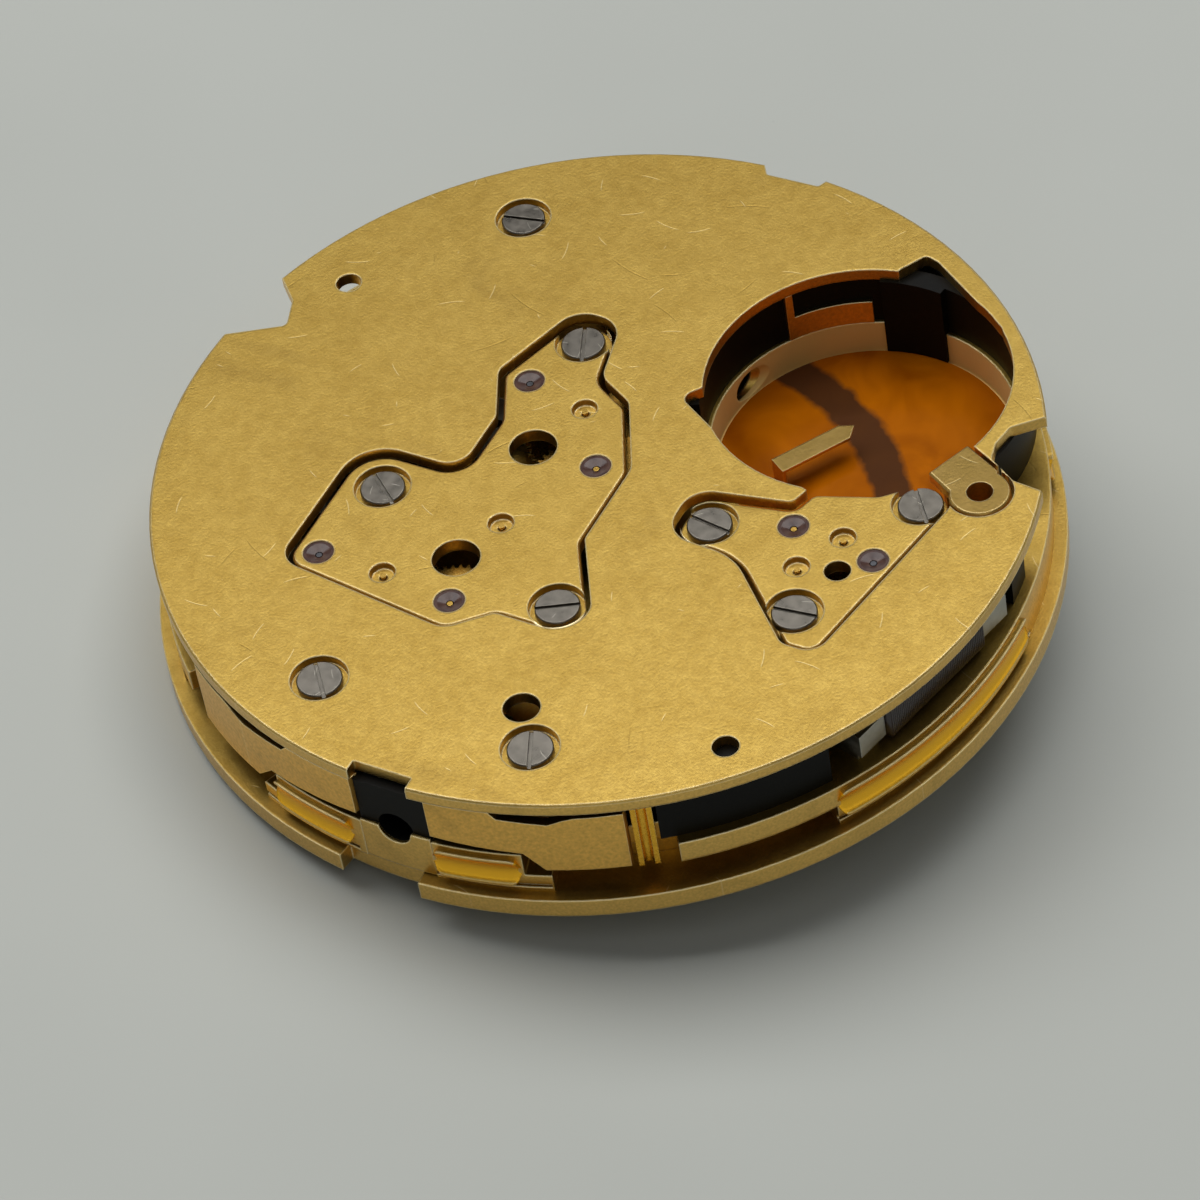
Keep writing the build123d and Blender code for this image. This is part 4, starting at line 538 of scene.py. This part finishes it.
def addBars(name, bars, finish):
    shape = bmesh.new()
    for rings in bars:
        addBar(shape, rings)
    bmesh.ops.recalc_face_normals(shape, faces=shape.faces)
    mesh = bpy.data.meshes.new(name)
    shape.to_mesh(mesh)
    shape.free()
    addPiece(name, mesh, finish)


# A spot on the rim, by its radius and height in mm and its angle
def rimSpot(radius, angle, height):
    return (radius * math.cos(angle) * mm, radius * math.sin(angle) * mm, height * mm)


# Wire of the four coils, turn by turn. Real wire is about 0.02 mm thick: it is drawn 0.09 mm thick to show.
coilLook = {
    "ends": (
        ((0.21, 13.447), (6.129, 11.972)), ((-2.85, -9.199), (3.249, -9.199)),
        ((4.895, -12.341), (9.904, -8.86)), ((-12.75, 1.449), (-12.75, -4.651)),
    ),
    "height": 3.33, "halfLength": 2.3, "halfWidth": 0.95, "corner": 0.35, "wire": 0.045, "pitch": 0.084,
    "cornerSteps": 3, "wireSides": 5, "coreSides": 16,
}


def coilLine(ends, halfLength):
    first, last = Vector((*ends[0], 0.0)), Vector((*ends[1], 0.0))
    middle, along = (first + last) / 2, (last - first).normalized()
    return middle - along * halfLength, middle + along * halfLength


# Rounded square rings of wire, one at each step along the coils' axes
def windingTree(finish, look):
    tree = bpy.data.node_groups.new("winding turns", "GeometryNodeTree")
    tree.interface.new_socket("Axes", in_out="INPUT", socket_type="NodeSocketGeometry")
    names = {}
    for name in ("Pitch", "Wire Radius", "Half Width", "Corner Radius"):
        socket = tree.interface.new_socket(name, in_out="INPUT", socket_type="NodeSocketFloat")
        names[name] = socket.identifier
    tree.interface.new_socket("Turns", in_out="OUTPUT", socket_type="NodeSocketGeometry")
    given = addNode(tree, "NodeGroupInput")
    line = addNode(tree, "GeometryNodeMeshToCurve", None, {"Mesh": given["Axes"]})
    places = addNode(
        tree, "GeometryNodeCurveToPoints", {"mode": "LENGTH"}, {"Curve": line[0], "Length": given["Pitch"]}
    )
    turn = addNode(
        tree, "FunctionNodeAxesToRotation", {"primary_axis": "Z", "secondary_axis": "Y"},
        {"Primary Axis": places["Tangent"], "Secondary Axis": (0.0, 0.0, 1.0)},
    )
    inset = addNode(tree, "ShaderNodeMath", subtract, {0: given["Half Width"], 1: given["Wire Radius"]})[0]
    side = addNode(tree, "ShaderNodeMath", multiply, {0: inset, 1: 2.0})[0]
    square = addNode(tree, "GeometryNodeCurvePrimitiveQuadrilateral", None, {"Width": side, "Height": side})
    rounded = addNode(
        tree, "GeometryNodeFilletCurve", {"mode": "POLY"},
        {"Curve": square[0], "Count": look["cornerSteps"], "Radius": given["Corner Radius"]},
    )
    wire = addNode(
        tree, "GeometryNodeCurvePrimitiveCircle", None,
        {"Resolution": look["wireSides"], "Radius": given["Wire Radius"]},
    )
    ring = addNode(tree, "GeometryNodeCurveToMesh", None, {"Curve": rounded[0], "Profile Curve": wire[0]})
    laid = addNode(
        tree, "GeometryNodeInstanceOnPoints", None,
        {"Points": places["Points"], "Instance": ring[0], "Rotation": turn[0]},
    )
    real = addNode(tree, "GeometryNodeRealizeInstances", None, {"Geometry": laid[0]})
    dressed = addNode(tree, "GeometryNodeSetMaterial", None, {"Geometry": real[0], "Material": finish})
    addNode(tree, "NodeGroupOutput", None, {"Turns": dressed[0]})
    return tree, names


# The dark body under the turns, so that no light shows between them
def coilCore(start, finish, look):
    across = Vector((0.0, 0.0, 1.0)).cross((finish - start).normalized())
    flat = look["halfWidth"] - look["wire"] - look["corner"]
    outline = []
    for step in range(look["coreSides"]):
        angle = 2 * math.pi * (step + 0.5) / look["coreSides"]
        wide = math.copysign(flat, math.cos(angle)) + look["corner"] * math.cos(angle)
        high = math.copysign(flat, math.sin(angle)) + look["corner"] * math.sin(angle)
        outline.append(across * wide + Vector((0.0, 0.0, look["height"] + high)))
    return [[(end + spot) * mm for spot in outline] for end in (start, finish)]


def windCoils(look):
    lines = [coilLine(ends, look["halfLength"]) for ends in look["ends"]]
    axes = bpy.data.meshes.new("coil axes")
    lift = Vector((0.0, 0.0, look["height"]))
    places = []
    for first, last in lines:
        inset = (last - first).normalized() * look["wire"]
        places += [(first + inset + lift) * mm, (last - inset + lift) * mm]
    axes.from_pydata(places, [(2 * coil, 2 * coil + 1) for coil in range(len(lines))], [])
    holder = bpy.data.objects.new("coil axes", axes)
    bpy.context.collection.objects.link(holder)
    modifier = holder.modifiers.new("turns", "NODES")
    modifier.node_group, names = windingTree(materials["woundWire"], look)
    sizes = {"Pitch": "pitch", "Wire Radius": "wire", "Half Width": "halfWidth", "Corner Radius": "corner"}
    for name, key in sizes.items():
        modifier[names[name]] = look[key] * mm
    ready = holder.evaluated_get(bpy.context.evaluated_depsgraph_get())
    turns = bpy.data.meshes.new_from_object(ready)
    holder.modifiers.remove(modifier)
    bpy.data.objects.remove(holder)
    shape = bmesh.new()
    shape.from_mesh(turns)
    for start, finish in lines:
        addBar(shape, coilCore(start, finish, look))
    bmesh.ops.recalc_face_normals(shape, faces=shape.faces)
    shape.to_mesh(turns)
    shape.free()
    turns.shade_smooth()
    piece = addPiece("winding_turns", turns, "woundWire")
    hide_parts("motor_windings")


windCoils(coilLook)
print("coils wound")


# Rim in front of the stem block, with the half-round notch for the stem
apronLook = {
    "radius": 14.55, "back": 14.41, "halfWidth": 1.245, "low": 0.79, "stemHeight": 2.45, "notch": 0.56,
    "columns": 60,
}


def stemApron(look):
    rings = []
    for step in range(look["columns"] + 1):
        across = look["halfWidth"] * (2 * step / look["columns"] - 1)
        front = math.sqrt(look["radius"] ** 2 - across ** 2)
        top = look["stemHeight"]
        if abs(across) < look["notch"]:
            top -= math.sqrt(look["notch"] ** 2 - across ** 2)
        corners = ((front, look["low"]), (front, top), (look["back"], top), (look["back"], look["low"]))
        rings.append([(out * mm, across * mm, high * mm) for out, high in corners])
    addBars("stem_apron", [rings], "platedGold")


stemApron(apronLook)


# Turned troughs round the rim: two lips and a round-bottomed groove between them, with rounded ends
troughLook = {
    "arcs": ((4.9, 16.3), (-19.6, -6.4), (56.6, 93.6), (120.0, 180.0), (200.0, 290.0)),
    "root": 14.5, "groove": 14.565, "lip": 14.73, "low": 1.05, "high": 2.2, "lipWidth": 0.1,
    "grooveFullness": 0.6, "grooveSteps": 10, "endRound": 0.35, "endReach": 0.3, "endHeight": 0.25,
    "stepMm": 0.12,
}


def troughProfile(look):
    low, high = look["low"] + look["lipWidth"], look["high"] - look["lipWidth"]
    groove = []
    for step in range(look["grooveSteps"] + 1):
        share = step / look["grooveSteps"]
        sunk = math.sin(math.pi * share) ** look["grooveFullness"]
        groove.append((look["lip"] + (look["groove"] - look["lip"]) * sunk, low + (high - low) * share))
    lowerLip = [(look["root"], look["low"]), (look["lip"], look["low"])]
    upperLip = [(look["lip"], look["high"]), (look["root"], look["high"])]
    return lowerLip + groove + upperLip


def rimTroughs(look):
    profile = troughProfile(look)
    root, middle = look["root"], (look["low"] + look["high"]) / 2
    bars = []
    for start, end in look["arcs"]:
        arcMm = math.radians(end - start) * look["lip"]
        count = round(arcMm / look["stepMm"])
        rings = []
        for step in range(count + 1):
            angle = math.radians(start + (end - start) * step / count)
            near = min(step, count - step) / count * arcMm / look["endRound"]
            full = math.sqrt(1 - (1 - min(near, 1.0)) ** 2)
            proud, tall = max(full, look["endReach"]), max(full, look["endHeight"])
            rings.append([
                rimSpot(root + (reach - root) * proud, angle, middle + (height - middle) * tall)
                for reach, height in profile
            ])
        bars.append(rings)
    # Their finish paints the groove bright yellow: a painted reflection
    addBars("rim_troughs", bars, "troughSheenGold")


rimTroughs(troughLook)


# Moulded wall behind the notch beside the battery: the rim is closed there
wallLook = {
    "radius": 14.2, "thick": 0.35, "low": 2.4, "high": 4.3, "start": 146.0, "sweep": 18.0, "steps": 24,
}


def rimWall(look):
    inner, outer, low, high = look["radius"] - look["thick"], look["radius"], look["low"], look["high"]
    rings = []
    for step in range(look["steps"] + 1):
        angle = math.radians(look["start"] + look["sweep"] * step / look["steps"])
        corners = ((inner, low), (outer, low), (outer, high), (inner, high))
        rings.append([rimSpot(reach, angle, height) for reach, height in corners])
    addBars("rim_wall", [rings], "blackNylon")


rimWall(wallLook)
print("rim pieces made")


# Matt laminate desk. The movement leans on its centre stack and on one spot of its rim, so the desk tilts.
floorLook = {
    "leanTowards": (0.45, -0.89),
    "stackTip": 2.0,
    "rim": 15.0,
    "size": 1.5,
    "tone": "#b7bab4",
    "paleTone": "#bdc0ba",
    "speckTone": "#8e908b",
    "cloudMm": 30.0,
    "speckMm": 0.6,
    "specks": 0.5,
    "roughness": 0.75,
}


def paintFloor(name, look):
    material, tree, place = newMaterial(name)
    clouds = spots(tree, place, look["cloudMm"], patterns["plain"])["share"]
    specks = spots(tree, place, look["speckMm"], patterns["speck"])["share"]
    colour = layTone(tree, hexColour(look["tone"]), look["paleTone"], clouds)
    dusty = layTone(tree, colour, look["speckTone"], specks, look["specks"])
    coatSurface(tree, {"Base Color": dusty, "Roughness": look["roughness"]})
    return material


def layFloor(look):
    towards = Vector((*look["leanTowards"], 0.0)).normalized()
    slope = look["stackTip"] / look["rim"]
    normal = Vector((-slope * towards.x, -slope * towards.y, 1.0)).normalized()
    bpy.ops.mesh.primitive_plane_add(size=look["size"])
    floor = bpy.context.object
    floor.name = "floor"
    turn = Vector((0.0, 0.0, 1.0)).rotation_difference(normal)
    floor.matrix_world = Matrix.Translation((0.0, 0.0, -look["stackTip"] * mm)) @ turn.to_matrix().to_4x4()
    floor.data.materials.append(paintFloor("matt laminate desk", look))


layFloor(floorLook)


# A high window behind the movement, a small fill beside the camera, and dim air all round
lightLook = {
    "window": {"place": (-0.14, -0.1, 0.468), "wide": 0.72, "deep": 0.36, "power": 2.7, "tone": "#ffffff"},
    "fill": {"place": (0.25, 0.17, 0.43), "wide": 0.35, "deep": 0.35, "power": 0.25, "tone": "#ffffff"},
    "air": {
        "tone": "#ffffff", "strength": 0.09, "paleTone": "#d6d8d3", "paleStrength": 1.0, "paleBelow": 0.2,
        "plainAbove": 0.55,
    },
}


def hangLamp(name, look):
    data = bpy.data.lights.new(name, "AREA")
    data.shape = "RECTANGLE"
    data.size = look["wide"]
    data.size_y = look["deep"]
    data.energy = look["power"]
    data.color = hexColour(look["tone"])[:3]
    lamp = bpy.data.objects.new(name, data)
    bpy.context.collection.objects.link(lamp)
    lamp.location = look["place"]
    lamp.rotation_euler = Vector(look["place"]).to_track_quat("Z", "Y").to_euler()


# What the camera, metal and glass see near the horizon is pale; what lights the movement is dim
def fillAir(look):
    world = bpy.data.worlds.new("studio air")
    bpy.context.scene.world = world
    world.use_nodes = True
    tree = world.node_tree
    tree.nodes.clear()
    plain = addNode(tree, "ShaderNodeBackground", None, {
        "Color": hexColour(look["tone"]), "Strength": look["strength"],
    })
    pale = addNode(tree, "ShaderNodeBackground", None, {
        "Color": hexColour(look["paleTone"]), "Strength": look["paleStrength"],
    })
    ray = addNode(tree, "ShaderNodeLightPath")
    direct = ray["Is Camera Ray"]
    for other in ("Is Transmission Ray", "Is Glossy Ray"):
        direct = addNode(tree, "ShaderNodeMath", maximum, {0: direct, 1: ray[other]})[0]
    heading = addNode(tree, "ShaderNodeTexCoord")["Generated"]
    height = addNode(tree, "ShaderNodeSeparateXYZ", None, {"Vector": heading})["Z"]
    band = {"Value": height, "From Min": look["plainAbove"], "From Max": look["paleBelow"]}
    low = addNode(tree, "ShaderNodeMapRange", None, band)["Result"]
    shown = addNode(tree, "ShaderNodeMath", multiply, {0: direct, 1: low})[0]
    mixed = addNode(tree, "ShaderNodeMixShader", None, {0: shown, 1: plain[0], 2: pale[0]})
    addNode(tree, "ShaderNodeOutputWorld", None, {"Surface": mixed[0]})


hangLamp("window", lightLook["window"])
hangLamp("fill", lightLook["fill"])
fillAir(lightLook["air"])
bpy.context.scene.view_settings.view_transform = "Standard"
print("floor and light set")
